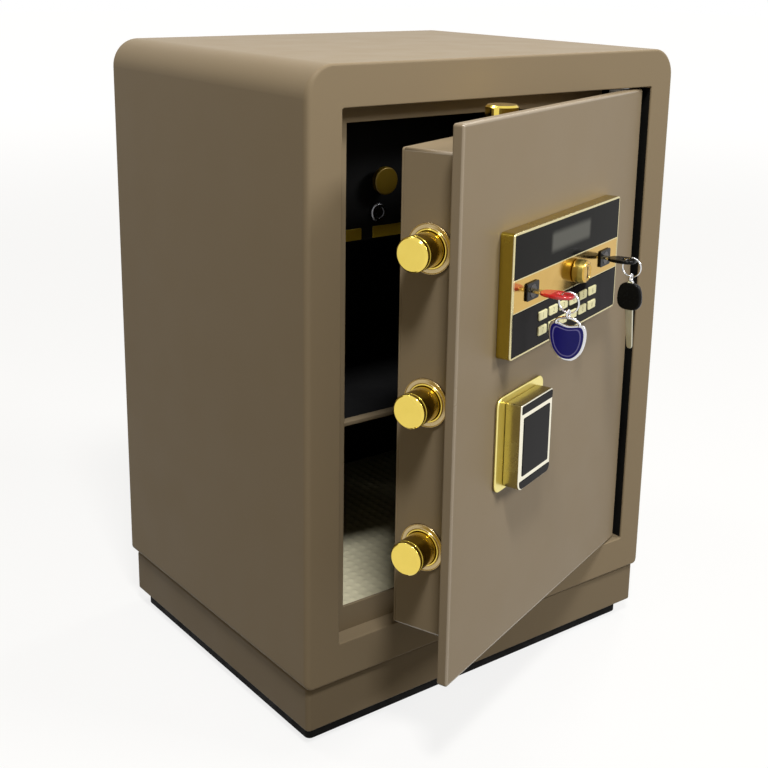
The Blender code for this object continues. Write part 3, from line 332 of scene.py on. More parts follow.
wrap, gap_shadow_faces = body_wrap()
body = piece("cabinet_body", wrap, taupe, "cabinet", "taupe_powder_coat", "outer_shell", "front_frame")
# Black on the pivot side's jamb faces: painted shadow in the door's gap.
gap_painted_shadow = drifting("jamb_painted_shadow_black", (0.006, 0.006, 0.006), (0.009, 0.009, 0.008), 0.06, (0.5, 0.7),
                      shine=0.1)
second_finish(body, gap_painted_shadow, gap_shadow_faces)


def coated(finish, *nodes):
    """Gives a finish to CAD nodes that are shown as they are."""
    for node in nodes:
        frame["nodes"][node].data.materials[0] = finish


coated(taupe, "back_panel")

# Lip behind the door
# Three strips of the same sheet, welded inside the jamb: the bolts pass behind them. The pivot side has none.
LIP_T, LIP_LEFT, LIP_TOP, LIP_BOTTOM = 0.003, 0.0167, 0.0147, 0.0243
LIP_PIVOT_GAP, LIP_LAP, SINK = 0.026, 0.0012, 0.0003
LIP_CORNER, LIP_EDGE = 0.0013, 0.0007
lip_front, lip_back = frame_high.y - LIP_T, frame_high.y
lip_start, lip_end = open_l + LIP_LEFT - LIP_LAP, PIVOT[0] - LIP_PIVOT_GAP
for name, x0, x1, z0, z1 in (
    ("left", open_l - SINK, open_l + LIP_LEFT, open_b, open_t),
    ("top", lip_start, lip_end, open_t - LIP_TOP, open_t + SINK),
    ("bottom", lip_start, lip_end, open_b - SINK, open_b + LIP_BOTTOM),
):
    shape = slab((x0, lip_front, z0), (x1, lip_back, z1), FRONT, LIP_CORNER, LIP_EDGE)
    piece("door_lip_" + name, shape, taupe, "cabinet", "taupe_powder_coat")

# Liner and locker case
# A box of thin sheet in matt black paint lines the chamber, with ledges for the shelf. A small case of the
# same sheet hangs from its ceiling, and holds the drawer.
liner_black = drifting("black_liner_paint", (0.0075, 0.0075, 0.008), (0.012, 0.012, 0.012), 0.06, (0.5, 0.7),
                       grain=0.00004, grain_size=0.0014, shine=0.12)
coated(liner_black, "inner_liner", "locker_case", "drawer")

# Floor mat
# A cream plastic mat, embossed with raised lozenge studs in diagonal rows, laid loose on the chamber's floor.
cream = drifting("cream_mat_skin", (0.88, 0.82, 0.58), (0.82, 0.76, 0.53), 0.05, (0.28, 0.4),
                 grain=0.00003, grain_size=0.0009)
MAT_STEP, STUD_PITCH, STUD_RISE = 0.0016, 0.0105, 0.0009
MAT_BORDER, MAT_EDGE, MAT_EDGE_DROP = 0.006, 0.0016, 0.0012
low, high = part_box("floor_mat")


def studded_mat():
    """Cross sections of the mat, one behind the other: a row of heights above a flat underside.

    The height is the base plus the rise times max(0, cos a cos b) to the power 1.5, where a and b run along
    the two diagonals. The studs fade out over a border, and the edge drops in a curve.
    """
    x = np.linspace(low.x, high.x, int((high.x - low.x) / MAT_STEP))
    y = np.linspace(low.y, high.y, int((high.y - low.y) / MAT_STEP))
    across, back = np.meshgrid(x, y)
    a = (across + back) * np.pi / STUD_PITCH
    b = (across - back) * np.pi / STUD_PITCH
    stud = np.maximum(np.cos(a) * np.cos(b), 0) ** 1.5
    rim = np.minimum.reduce([across - low.x, high.x - across, back - low.y, high.y - back])
    height = high.z - STUD_RISE * 0.5 + STUD_RISE * stud * np.clip(rim / MAT_BORDER - 0.4, 0, 1)
    height -= MAT_EDGE_DROP * np.clip(1 - rim / MAT_EDGE, 0, 1) ** 2
    top = np.stack([across, back, height], -1)
    ends = np.stack([across[:, [-1, 0]], back[:, [-1, 0]], np.full((len(y), 2), low.z)], -1)
    return loft(np.concatenate([top, ends], 1))


mat = piece("studded_floor_mat", studded_mat(), cream, "cabinet", "cream_mat", "floor_mat")
mat.data.set_sharp_from_angle(angle=math.radians(80))

# Shelf
# A black plate that rests on the liner's ledges, with a powder-coated trim of folded sheet along its front
# edge.
SHELF_TRIM, TRIM_SHEET, TRIM_LAP = 0.009, 0.0004, 0.002
low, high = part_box("shelf")
shape = slab(low, (high.x, low.y + SHELF_TRIM, high.z), TOP, 0.0015, 0.0014)
piece("shelf_front_trim", shape, taupe, "cabinet", "taupe_powder_coat", "shelf")
plate_low = (low.x, low.y + SHELF_TRIM - TRIM_LAP, low.z + TRIM_SHEET)
plate_high = (high.x, high.y, high.z - TRIM_SHEET)
shape = slab(plate_low, plate_high, TOP, 0.0008, 0.0005)
piece("shelf_plate", shape, liner_black, "cabinet", "black_liner", "shelf")

# Drawer fittings
# A turned gold pull and a plated cylinder lock in the drawer's black front, and a gold trim along the bottom,
# in two lengths. The pull's gold is painted dark, as painted shade inside the chamber.


def plated(name, colour, other, patch, rough, metal=1.0):
    """A bare or plated metal, without a grain."""
    return drifting(name, colour, other, patch, rough, metal)


# The pull's gold is darkened to about a third: painted shade inside the chamber.
gold_painted_shade_pull = plated("gold_plate_painted_shade", (0.23, 0.145, 0.009), (0.2, 0.125, 0.007), 0.02, (0.3, 0.42), 0.35)
gold_trim = plated("drawer_trim_gold", (0.62, 0.42, 0.03), (0.56, 0.37, 0.025), 0.02, (0.3, 0.42), 0.35)
dark_steel = plated("dark_plated_steel", (0.2, 0.2, 0.21), (0.15, 0.15, 0.16), 0.01, (0.2, 0.32))
chrome = plated("bright_chrome", (0.74, 0.74, 0.75), (0.66, 0.66, 0.67), 0.01, (0.06, 0.14))


def eased(corners, reach, steps=5, hold=0.0003):
    """A line of corners with each inner corner eased.

    A corner P becomes the curve (1-t)^2 A + 2t(1-t) P + t^2 B between the points A and B that lie a reach
    before and after it. A point just off each end keeps the flats flat.
    """
    corners = np.array(corners, float)
    here = corners[1:-1]
    back, ahead = corners[:-2] - here, corners[2:] - here
    room = [np.linalg.norm(side, axis=1, keepdims=True) for side in (back, ahead)]
    reach = np.minimum(np.minimum(np.broadcast_to(reach, len(here))[:, None], 0.4 * room[0]), 0.4 * room[1])
    back, ahead = back / room[0], ahead / room[1]
    a, b = (here + back * reach)[:, None], (here + ahead * reach)[:, None]
    t = np.linspace(0, 1, steps + 1)[:, None]
    curve = (1 - t) ** 2 * a + 2 * t * (1 - t) * here[:, None] + t**2 * b
    hold = np.minimum(hold, 0.2 * reach)[:, None]
    curve = np.concatenate([a + back[:, None] * hold, curve, b + ahead[:, None] * hold], 1)
    return np.concatenate([corners[:1], curve.reshape(-1, 2), corners[-1:]])


def turned(profile, centre, axis, sides=64):
    """A turned piece: each (radius, height) of the profile goes once round the axis through the centre."""
    radius, height = np.array(profile).T[:, :, None, None]
    w = np.array(axis, float)
    u = np.cross(w, (0.0, 0.6, 0.8) if abs(w[0]) > 0.5 else (1.0, 0.0, 0.0))
    u /= np.linalg.norm(u)
    v = np.cross(w, u)
    angle = np.linspace(0, 2 * np.pi, sides, endpoint=False)[:, None]
    ring = np.cos(angle) * u + np.sin(angle) * v
    return loft(np.array(centre) + height * w + radius * ring)


def middle(low, high):
    """The point half way between two corners."""
    return (np.array(low) + np.array(high)) / 2


def rear_middle(low, high):
    """The middle of a box's rear side."""
    at = middle(low, high)
    at[1] = high[1]
    return at


LEVEL_OUT = (0.0, -1.0, 0.0)
low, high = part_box("drawer_pull")
pull_r, pull_l = (high.x - low.x) / 2, high.y - low.y
profile = eased(
    [(0.0006, 0), (0.0072, 0), (0.0072, 0.0048), (pull_r, pull_l - 0.0056), (pull_r, pull_l - 0.001),
     (pull_r - 0.001, pull_l), (0.0006, pull_l)], 0.0011
)
shape = turned(profile, rear_middle(low, high), LEVEL_OUT)
piece("turned_drawer_pull", shape, gold_painted_shade_pull, "drawer", "mirror_gold", "drawer_pull")
low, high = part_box("drawer_lock")
lock_r, lock_t = (high.x - low.x) / 2, high.y - low.y
profile = eased(
    [(0.0006, 0), (lock_r, 0), (lock_r, lock_t - 0.0012), (lock_r - 0.0015, lock_t), (0.0052, lock_t),
     (0.0048, lock_t - 0.0008), (0.0006, lock_t - 0.0008)], 0.0005
)
shape = turned(profile, rear_middle(low, high), LEVEL_OUT)
piece("drawer_lock_cylinder", shape, dark_steel, "drawer", "zinc_steel", "drawer_lock")
low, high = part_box("drawer_trim")
TRIM_LONG, TRIM_SHORT = -0.085, (-0.122, -0.098)
for name, x0, x1 in (("long", TRIM_LONG, high.x), ("short", *TRIM_SHORT)):
    shape = slab((x0, low.y, low.z), (x1, high.y, high.z), FRONT, 0.0012, 0.0005)
    piece("drawer_trim_" + name, shape, gold_trim, "drawer", "mirror_gold", "drawer_trim")

# Hinge pins and blocks
# Turned steel pins stand in the frame above and below the door. Bored steel blocks on its back turn on them.
# The plated bar and cam inside the door are finished like them.
zinc = drifting("zinc_plated_steel", (0.56, 0.56, 0.54), (0.46, 0.46, 0.45), 0.008, (0.28, 0.42), metal=1.0,
                grain=0.00002, grain_size=0.0006)
coated(zinc, "hinge_pin_top", "hinge_pin_bottom", "hinge_block_top", "hinge_block_bottom")
coated(zinc, "bolt_bar", "cam_disc")

# Door slab
# A thick steel plate with its arrises broken, powder coated in the cabinet's colour. The coat shines a
# little more than the cabinet's, and more still on the edges, which are also coloured lighter as a painted
# highlight.
SLAB_CORNER, SLAB_EDGE = 0.0026, 0.002
taupe_door = powder_coat("taupe_door_coat", (0.256, 0.198, 0.126), (0.248, 0.192, 0.122), (0.42, 0.48), 0.2)
edge_painted_highlight = drifting("taupe_edge_painted_highlight", (0.3, 0.235, 0.15), (0.29, 0.225, 0.145), 0.11, (0.22, 0.28),
                      shine=0.9)


def on_door(shape):
    """Turns a shape drawn on the shut door about the pivot pins, to where the door stands ajar.

    x' = x cos a - y sin a and y' = x sin a + y cos a, measured from the pivot.
    """
    points, faces = shape
    return (points - PIVOT) @ SWING.T + PIVOT, faces


def door_piece(name, shape, *rest):
    """A piece whose shape is drawn on the shut door."""
    return piece(name, on_door(shape), *rest)


def two_tone(obj, finish, rows, cap):
    """Gives a lofted plate's last rows of faces a second finish, and its front as well if cap is true."""
    total, across = len(obj.data.polygons), len(rounded_outline(0, 1, 0, 1, 0.1)[0])
    chosen = np.arange(total) >= total - 2 - rows * across
    chosen[-2:] = False, cap
    second_finish(obj, finish, chosen)


shape = slab(slab_low, slab_high, FRONT, SLAB_CORNER, SLAB_EDGE)
door = door_piece("door_slab", shape, taupe_door, "door", "taupe_powder_coat", "door_panel")
# The front edge rows take the lighter edge colour, a painted highlight.
two_tone(door, edge_painted_highlight, 6, False)

# Bolt box
# Four walls folded from one strip, bent at the corners and welded to the back of the slab, with bored holes
# for the bolts' bushes. A cover is held on by six socket screws, and has a battery lid.
BEND = 0.0024
MERGE, ON_PLANE = 0.000005, 0.00005
BACK = np.array([[-1.0, 0, 0], [0, 0, 1], [0, 1, 0]])


def bent_box(node):
    """A copy of the walls, merged, with a bevel weight on the edges where two of the four outer planes meet.
    """
    mesh = frame["nodes"][node].data.copy()
    low, high = shut_box(node)
    work = bmesh.new()
    work.from_mesh(mesh)
    bmesh.ops.remove_doubles(work, verts=work.verts, dist=MERGE)
    bmesh.ops.dissolve_limit(work, angle_limit=math.radians(1), verts=work.verts, edges=work.edges)
    work.to_mesh(mesh)
    work.free()
    ends = np.empty(len(mesh.edges) * 2, np.int32)
    mesh.edges.foreach_get("vertices", ends)
    pair = shut_points(mesh)[ends.reshape(-1, 2)]
    planes = [(axis, side[axis]) for axis in (0, 2) for side in (low, high)]
    near = [np.all(np.abs(pair[:, :, axis] - plane) < ON_PLANE, 1) for axis, plane in planes]
    bend = (np.sum(near, 0) == 2).astype(np.float32)
    mesh.attributes.new("bevel_weight_edge", "FLOAT", "EDGE").data.foreach_set("value", bend)
    return mesh


walls = placed("folded_bolt_box", bent_box("bolt_box"))
walls.data.shade_smooth()
walls.data.set_sharp_from_angle(angle=math.radians(30))
bevel = walls.modifiers.new("bend", "BEVEL")
bevel.limit_method = "WEIGHT"
bevel.width = BEND
bevel.segments = 5
bevel.harden_normals = True
walls.data.materials.clear()
walls.data.materials.append(taupe)
# The bends take the same lighter edge colour, a painted highlight.
walls.data.materials.append(edge_painted_highlight)
bevel.material = 1
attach(walls, "door")
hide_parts("bolt_box")
cover_low, cover_high = shut_box("door_cover")
shape = slab(cover_low, cover_high, BACK, BEND, 0.0006)
door_piece("bolt_box_cover", shape, taupe, "door", "taupe_powder_coat", "door_cover")
SCREW_R, SCREW_RISE, SCREW_IN, SCREW_DOWN = 0.0042, 0.0018, 0.013, 0.0005
profile = eased(
    [(0.0008, -SCREW_DOWN), (SCREW_R, -SCREW_DOWN), (SCREW_R, 0.0006), (0.0027, SCREW_RISE),
     (0.0021, SCREW_RISE), (0.002, 0.0005), (0.0008, 0.0005)], 0.0004
)
screw_rows = (cover_low[2] + SCREW_IN, (cover_low[2] + cover_high[2]) / 2, cover_high[2] - SCREW_IN)
for side, x in (("left", cover_low[0] + SCREW_IN), ("right", cover_high[0] - SCREW_IN)):
    for row, z in zip(("bottom", "middle", "top"), screw_rows):
        shape = turned(profile, (x, cover_high[1], z), (0.0, 1.0, 0.0), 32)
        door_piece("cover_screw_" + row + "_" + side, shape, zinc, "door", "zinc_steel")
black_moulded = drifting("black_moulded_plastic", (0.012, 0.012, 0.012), (0.02, 0.02, 0.02), 0.01,
                         (0.3, 0.45), grain=0.00003, grain_size=0.0007)
shape = slab(*shut_box("battery_lid"), BACK, 0.004, 0.0005)
door_piece("battery_door", shape, black_moulded, "door", "black_gloss", "battery_lid")

# Bushes
# Turned brass: a satin flange on the wall, coloured a dull tan as a painted reflection of the wall around it,
# and a raised polished collar that the bolt slides in.
brass = plated("polished_brass_skin", (0.84, 0.65, 0.14), (0.77, 0.58, 0.11), 0.012, (0.08, 0.16))
# The flange's dull tan colour is a painted reflection of the surrounding wall.
satin = plated("bush_flange_painted_reflection", (0.5, 0.385, 0.2), (0.44, 0.335, 0.17), 0.012, (0.2, 0.3))
SIDEWAYS = (-1.0, 0.0, 0.0)
BOLT_GAP, COLLAR_W, SLEEVE_W = 0.0004, 0.0018, 0.003
FLANGE_R, BEAD_W, FLANGE_T, FLANGE_SEAT = 0.0214, 0.0011, 0.0012, 0.0002
low, high = shut_box("side_bolt_1")
BOLT_R = (high[2] - low[2]) / 2


def bush_profile(tip, sleeve):
    """The section of a bush: up its sleeve's outside, over the flange's bead, groove and collar, and down."""
    bore = BOLT_R + BOLT_GAP
    outside, collar, bead = bore + SLEEVE_W, bore + COLLAR_W, FLANGE_R - BEAD_W
    return eased(
        [(bore, -sleeve), (outside, -sleeve), (outside, FLANGE_SEAT), (FLANGE_R, FLANGE_SEAT),
         (FLANGE_R, FLANGE_T), (FLANGE_R - 0.0005, FLANGE_T + 0.0009), (bead, FLANGE_T + 0.0003),
         (bead - 0.0002, FLANGE_T), (collar + 0.0004, FLANGE_T), (collar, FLANGE_T + 0.0005),
         (collar - 0.0004, tip - 0.0002), (bore + 0.0005, tip), (bore, tip - 0.0005), (bore, -sleeve)], 0.0006
    )


def ring_turned(profile, centre, axis, sides=64):
    """A turned ring: its section goes once round the axis, and its last point meets its first."""
    points = turned(profile[:-1], centre, axis, sides)[0].reshape(len(profile) - 1, sides, 3)
    return loft(points, closed=True)


box_low, box_high = shut_box("bolt_box")
for name, axis in (("1", SIDEWAYS), ("2", SIDEWAYS), ("3", SIDEWAYS), ("top", (0.0, 0.0, 1.0)),
                   ("bottom", (0.0, 0.0, -1.0))):
    node = "bolt_bush_" + name
    low, high = shut_box(node)
    k = int(np.argmax(np.abs(axis)))
    at = middle(low, high)
    at[k] = box_high[k] if axis[k] > 0 else box_low[k]
    along = axis[k] * (np.array([low[k], high[k]]) - at[k])
    section = bush_profile(along.max(), -along.min())
    shape = ring_turned(section, at, axis)
    bush = door_piece(node + "_turned", shape, brass, "door", "polished_brass", node)
    radius, height = ((section[:-1] + section[1:]) / 2).T
    flange = (radius > BOLT_R + BOLT_GAP + COLLAR_W) & (height > 0)
    second_finish(bush, satin, np.repeat(flange, len(bush.data.polygons) // len(flange)))

# Bolts
# Turned brass bars, polished, with a bright chamfer round the face. The shanks are coloured a darker brass
# than face and chamfer, as painted shade. The side bolts ride on one bar; the top and bottom bolts ride on
# their lift plates.
brass_painted_shank_shade = plated("brass_bolt_side_painted_shade", (0.52, 0.385, 0.06), (0.46, 0.335, 0.05), 0.012, (0.1, 0.18))
BOLT_CHAMFER, GROOVE, GROOVE_DEEP = 0.0018, (0.0062, 0.0058, 0.005, 0.0046), 0.0005


def front_rows(obj, finish, profile, from_height):
    """Gives a turned piece a second finish on its front and on the rows that lie above a height."""
    height = (profile[:-1, 1] + profile[1:, 1]) / 2
    across = (len(obj.data.polygons) - 2) // len(height)
    second_finish(obj, finish, np.concatenate([np.repeat(height > from_height, across), [False, True]]))


for node in ("side_bolt_1", "side_bolt_2", "side_bolt_3"):
    low, high = shut_box(node)
    at = middle(low, high)
    at[0] = high[0]
    length = high[0] - low[0]
    groove = [length - back for back in GROOVE]
    profile = eased(
        [(0.0008, 0), (BOLT_R, 0), (BOLT_R, groove[0]), (BOLT_R - GROOVE_DEEP, groove[1]),
         (BOLT_R - GROOVE_DEEP, groove[2]), (BOLT_R, groove[3]), (BOLT_R, length - BOLT_CHAMFER),
         (BOLT_R - BOLT_CHAMFER, length), (0.0008, length)], 0.0005
    )
    shape = turned(profile, at, SIDEWAYS)
    bolt = door_piece(node + "_turned", shape, brass_painted_shank_shade, "side_bolts", "polished_brass", node)
    # Face and chamfer rows take the bright brass; the darker shank is painted shade.
    front_rows(bolt, brass, profile, groove[3])
coated(brass, "top_bolt", "bottom_bolt")

# Keypad lock housing
# A die-cast tray, gold plated: dull gold on its sides, coloured darker as painted shade, and a bright
# polished line round its front edge, coloured paler as a painted highlight. A polished strip for the two
# keyholes lies across its middle, with the same painted highlight on its edges.
gold_painted_side_shade = plated("housing_gold_painted_shade", (0.52, 0.4, 0.062), (0.45, 0.34, 0.05), 0.03, (0.18, 0.28))
gold_painted_highlight = plated("gold_edge_painted_highlight", (0.74, 0.66, 0.38), (0.68, 0.6, 0.33), 0.03, (0.2, 0.3))
gold_face = plated("mirror_gold_strip", (0.66, 0.42, 0.098), (0.61, 0.38, 0.082), 0.03, (0.1, 0.18))
BEZEL, TRAY_DEEP, STRIP_H = 0.0019, 0.006, 0.0295
HOUSE_R, TRAY_R, HOUSE_EDGE, HOUSE_BACK_EDGE = 0.004, 0.0006, 0.0008, 0.0004
STRIP_PLAY, FLOOR_PLAY = 0.0001, 0.0002
house_low, house_high = shut_box("lock_housing")
face_y = house_low[1]
floor_y = face_y + TRAY_DEEP - FLOOR_PLAY


def housing_tray():
    """Rings from the back plate round the sides, over the rounded front edge and into a flat tray."""
    u0, u1, v0, v1 = house_low[0], house_high[0], house_low[2], house_high[2]
    outer, out = rounded_outline(u0, u1, v0, v1, HOUSE_R)
    inner = rounded_outline(u0 + BEZEL, u1 - BEZEL, v0 + BEZEL, v1 - BEZEL, TRAY_R)[0]
    drawn, depth = edge_profile(-house_high[1], -face_y, HOUSE_EDGE, HOUSE_BACK_EDGE)
    flat = np.concatenate([outer - out * drawn[:-1, None, None], np.stack([inner, inner])])
    depth = np.concatenate([depth[:-1], [-face_y, -face_y - TRAY_DEEP]])
    points, faces = loft(raised(flat, depth[:, None, None]))
    return points @ FRONT, faces


housing = door_piece("lock_housing_tray", housing_tray(), gold_painted_side_shade, "door", "mirror_gold", "lock_housing")
# Pale painted highlight round the front edge; the darker sides are painted shade.
two_tone(housing, gold_painted_highlight, 9, True)
mid_z = (house_low[2] + house_high[2]) / 2
tray_l, tray_r = house_low[0] + BEZEL, house_high[0] - BEZEL
tray_t = house_high[2] - BEZEL
strip_low = (tray_l + STRIP_PLAY, face_y, mid_z - STRIP_H / 2)
strip_high = (tray_r - STRIP_PLAY, floor_y, mid_z + STRIP_H / 2)
shape = slab(strip_low, strip_high, FRONT, 0.0008, 0.0007)
strip = door_piece("gold_keyhole_strip", shape, gold_face, "door", "mirror_gold")
two_tone(strip, gold_painted_highlight, 7, False)

# Display and keypad panels
# Two smoked plastic panels lie flush in the tray, above and below the strip. A grey display shows dimly
# through the upper one.
PANEL_GAP, PANEL_PROUD, PANEL_EDGE = 0.00015, 0.0001, 0.0002
LCD_X, LCD_Z, LCD_SOFT, LCD_GREY = (0.068, 0.153), (0.453, 0.476), 0.007, (0.115, 0.116, 0.104)


def maths(tree, operation, one, two):
    """One value from two, such as their product or the larger of them."""
    return shader_node(tree, "Math", {0: one, 1: two}, operation=operation)["Value"]


def smoked_panel():
    """Black gloss with a grey window: a product of smooth steps across and up a UV map in metres."""
    made = drifting("smoked_display_panel", (0.008, 0.008, 0.007), (0.01, 0.01, 0.009), 0.02, (0.08, 0.15),
                    shine=0.03)
    tree = made.node_tree
    base = tree.nodes["Principled BSDF"].inputs["Base Color"]
    place = shader_node(tree, "UVMap", {}, uv_map="panel")["UV"]
    split = shader_node(tree, "SeparateXYZ", {"Vector": place})

    def between(axis, start, end):
        spans = (start, start + LCD_SOFT), (end, end - LCD_SOFT)
        steps = [ramp(tree, split[axis], span, curve="SMOOTHSTEP") for span in spans]
        return maths(tree, "MULTIPLY", *steps)

    share = maths(tree, "MULTIPLY", between("X", *LCD_X), between("Y", *LCD_Z))
    tree.links.new(mixed(tree, share, base.links[0].from_socket, (*LCD_GREY, 1)), base)
    return made


panel_low = (tray_l + PANEL_GAP, face_y - PANEL_PROUD, mid_z + STRIP_H / 2 + PANEL_GAP)
panel_high = (tray_r - PANEL_GAP, floor_y, tray_t - PANEL_GAP)
shape = slab(panel_low, panel_high, FRONT, TRAY_R, PANEL_EDGE)
display = door_piece("smoked_display", shape, smoked_panel(), "door", "black_gloss", "display_panel")
corners = np.empty(len(display.data.loops), np.int32)
display.data.loops.foreach_get("vertex_index", corners)
from_left = np.stack([shape[0][:, 0] - house_low[0], shape[0][:, 2]], -1)[corners]
display.data.uv_layers.new(name="panel").data.foreach_set("uv", from_left.astype(np.float32).ravel())
smoked = drifting("smoked_keypad_panel", (0.008, 0.007, 0.008), (0.01, 0.009, 0.01), 0.02, (0.1, 0.18),
                  shine=0.03)
coated(smoked, "keypad_plate")

# Buttons
# Twelve moulded keycaps in pale gold, each standing proud of the panel on its own spring, with a printed
# mark.
keycap = drifting("pale_gold_keycap", (0.86, 0.82, 0.48), (0.8, 0.76, 0.44), 0.004, (0.3, 0.42), shine=0.3)
ink = drifting("faint_key_print", (0.34, 0.31, 0.14), (0.38, 0.35, 0.17), 0.001, (0.4, 0.6))
MARKS, MARK_SIZE, MARK_RISE = "123456789*0#", 0.0066, 0.00004
CAP_CORNER, CAP_EDGE = 0.0014, 0.0005


def printed(mark, at):
    """A mark cut from a flat letter outline: its x runs across the key, its y up it, centred on a point."""
    curve = bpy.data.curves.new("mark", "FONT")
    curve.body = mark
    curve.size = MARK_SIZE
    curve.extrude = MARK_RISE
    curve.align_x = curve.align_y = "CENTER"
    drawn = placed("mark", curve)
    graph = bpy.context.evaluated_depsgraph_get()
    mesh = bpy.data.meshes.new_from_object(drawn.evaluated_get(graph))
    bpy.data.objects.remove(drawn)
    bpy.data.curves.remove(curve)
    points = np.empty(len(mesh.vertices) * 3, np.float32)
    mesh.vertices.foreach_get("co", points)
    faces = [list(polygon.vertices) for polygon in mesh.polygons]
    bpy.data.meshes.remove(mesh)
    return points.reshape(-1, 3) @ FRONT + at, faces


for number, mark in enumerate(MARKS, 1):
    node = "button_%02d" % number
    low, high = shut_box(node)
    shape = slab(low, high, FRONT, CAP_CORNER, CAP_EDGE)
    door_piece(node + "_cap", shape, keycap, node, "pale_gold_key", node)
    at = middle(low, high)
    at[1] = low[1]
    door_piece(node + "_print", printed(mark, at), ink, node, "black_gloss")

# Keyholes and knob
# Two square black escutcheons with a round opening for the lock plug, and a turned gold knob between them,
# its sides coloured a darker gold than its face as painted shade.
piano_black = drifting("piano_black_plastic", (0.008, 0.008, 0.008), (0.012, 0.012, 0.012), 0.01,
                       (0.06, 0.14), shine=0.12)
knob_gold_painted_shade = plated("knob_side_gold_painted_shade", (0.3, 0.225, 0.055), (0.25, 0.185, 0.045), 0.01, (0.3, 0.42))
KEYHOLE_CORNER, KEYHOLE_EDGE, KEYHOLE_BORE = 0.0018, 0.0004, 0.0064
KNOB_FRONT, SLOT_HALF = 0.0014, np.array([0.0005, 0.005])


def bored_plate(outline, out, w0, w1, edge, bore_at, bore, face):
    """A plate with a round hole: its outline's rings, then rings of a circle that each point looks at."""
    drawn, depth = edge_profile(w0, w1, edge, edge)
    ray = outline - np.array(bore_at)
    ray /= np.linalg.norm(ray, axis=1, keepdims=True)
    sides = outline - out * drawn[:, None, None]
    hole = np.array(bore_at) + ray * (bore + drawn[::-1, None, None])
    levels = np.concatenate([depth, depth[::-1]])
    points, faces = loft(raised(np.concatenate([sides, hole]), levels[:, None, None]), closed=True)
    return points @ face, faces


for end in ("left", "right"):
    node = "keyhole_" + end
    low, high = shut_box(node)
    outline, out = rounded_outline(low[0], high[0], low[2], high[2], KEYHOLE_CORNER)
    bore_at = middle(low, high)[[0, 2]]
    shape = bored_plate(outline, out, -high[1], -low[1], KEYHOLE_EDGE, bore_at, KEYHOLE_BORE, FRONT)
    door_piece("escutcheon_" + end, shape, piano_black, "door", "black_gloss", node)
low, high = shut_box("centre_knob")
knob_at = rear_middle(low, high)
knob_r, knob_t = (high[0] - low[0]) / 2, high[1] - low[1]
profile = eased(
    [(0.0008, 0), (knob_r, 0), (knob_r, 0.0058), (knob_r - 0.001, knob_t - 0.0012),
     (knob_r - 0.0023, knob_t), (0.007, knob_t), (0.0064, knob_t - 0.0005),
     (0.0008, knob_t - 0.0003)], 0.0012
)
shape = turned(profile, knob_at, LEVEL_OUT)
knob = door_piece("turned_centre_knob", shape, knob_gold_painted_shade, "centre_knob", "mirror_gold", "centre_knob")
# The knob's face is bright gold; its sides are darker, painted shade.
front_rows(knob, gold_face, profile, knob_t - KNOB_FRONT)
(x0, z0), (x1, z1) = knob_at[[0, 2]] - SLOT_HALF, knob_at[[0, 2]] + SLOT_HALF
shape = slab((x0, low[1] + 0.0001, z0), (x1, low[1] + 0.002, z1), FRONT, 0.0004, 0.0001)
door_piece("knob_slot_mark", shape, piano_black, "centre_knob", "black_gloss")

# Handle rose
# A pressed plate, gold plated and polished, fixed to the slab under the handle.
gold_rose = plated("polished_rose_gold", (0.9, 0.78, 0.3), (0.83, 0.71, 0.25), 0.03, (0.26, 0.38))
shape = slab(*shut_box("handle_plate"), FRONT, 0.0085, 0.0012)
door_piece("handle_rose", shape, gold_rose, "door", "mirror_gold", "handle_plate")

# Handle block
# A cast block, gold plated: dull on its sides and bright on its face, with three panes of black glass let in.
# The sides are coloured darker as painted shade and the face paler as a painted highlight. The bright metal
# left between the panes makes the frame and the two cross bars.
BLOCK_R, BLOCK_EDGE, BLOCK_BACK_EDGE = (0.002, 0.002, 0.0065, 0.0065), 0.0011, 0.0006
block_gold_painted_shade = plated("handle_side_gold_painted_shade", (0.47, 0.4, 0.155), (0.41, 0.345, 0.13), 0.03, (0.2, 0.3))
block_face_painted_highlight = plated("handle_face_gold_painted_highlight", (0.93, 0.89, 0.74), (0.88, 0.83, 0.66), 0.03, (0.1, 0.18))
block_low, block_high = shut_box("handle_block")
shape = slab(block_low, block_high, FRONT, BLOCK_R, BLOCK_EDGE, BLOCK_BACK_EDGE)
block = door_piece("handle_grip_block", shape, block_gold_painted_shade, "handle", "mirror_gold", "handle_block")
# The face and its edge rows are pale gold, a painted highlight; the sides are darker, painted shade.
two_tone(block, block_face_painted_highlight, 7, True)
black_glass = drifting("black_glass_pane", (0.008, 0.007, 0.008), (0.01, 0.009, 0.01), 0.02, (0.04, 0.1),
                       shine=0.04)
BAND_H, BAR_H, SIDE_BAR, RIM = 0.0074, 0.0041, 0.0051, 0.0011
PANE_DOWN, PANE_SINK, PANE_EDGE = 0.0005, 0.0004, 0.0003
pane_y = shut_box("handle_glass")[0][1] + PANE_DOWN
top_z, bottom_z = block_high[2] - RIM, block_low[2] + RIM
for name, inset, z0, z1, corner in (
    ("top", RIM, top_z - BAND_H, top_z, (0.0014, 0.0014, 0.0006, 0.0006)),
    ("middle", SIDE_BAR, bottom_z + BAND_H + BAR_H, top_z - BAND_H - BAR_H, 0.0012),
    ("bottom", RIM, bottom_z, bottom_z + BAND_H, (0.0006, 0.0006, 0.0056, 0.0056)),
):
    pane_high = (block_high[0] - inset, block_low[1] + PANE_SINK, z1)
    shape = slab((block_low[0] + inset, pane_y, z0), pane_high, FRONT, corner, PANE_EDGE)
    door_piece("handle_pane_" + name, shape, black_glass, "handle", "black_gloss", "handle_glass")

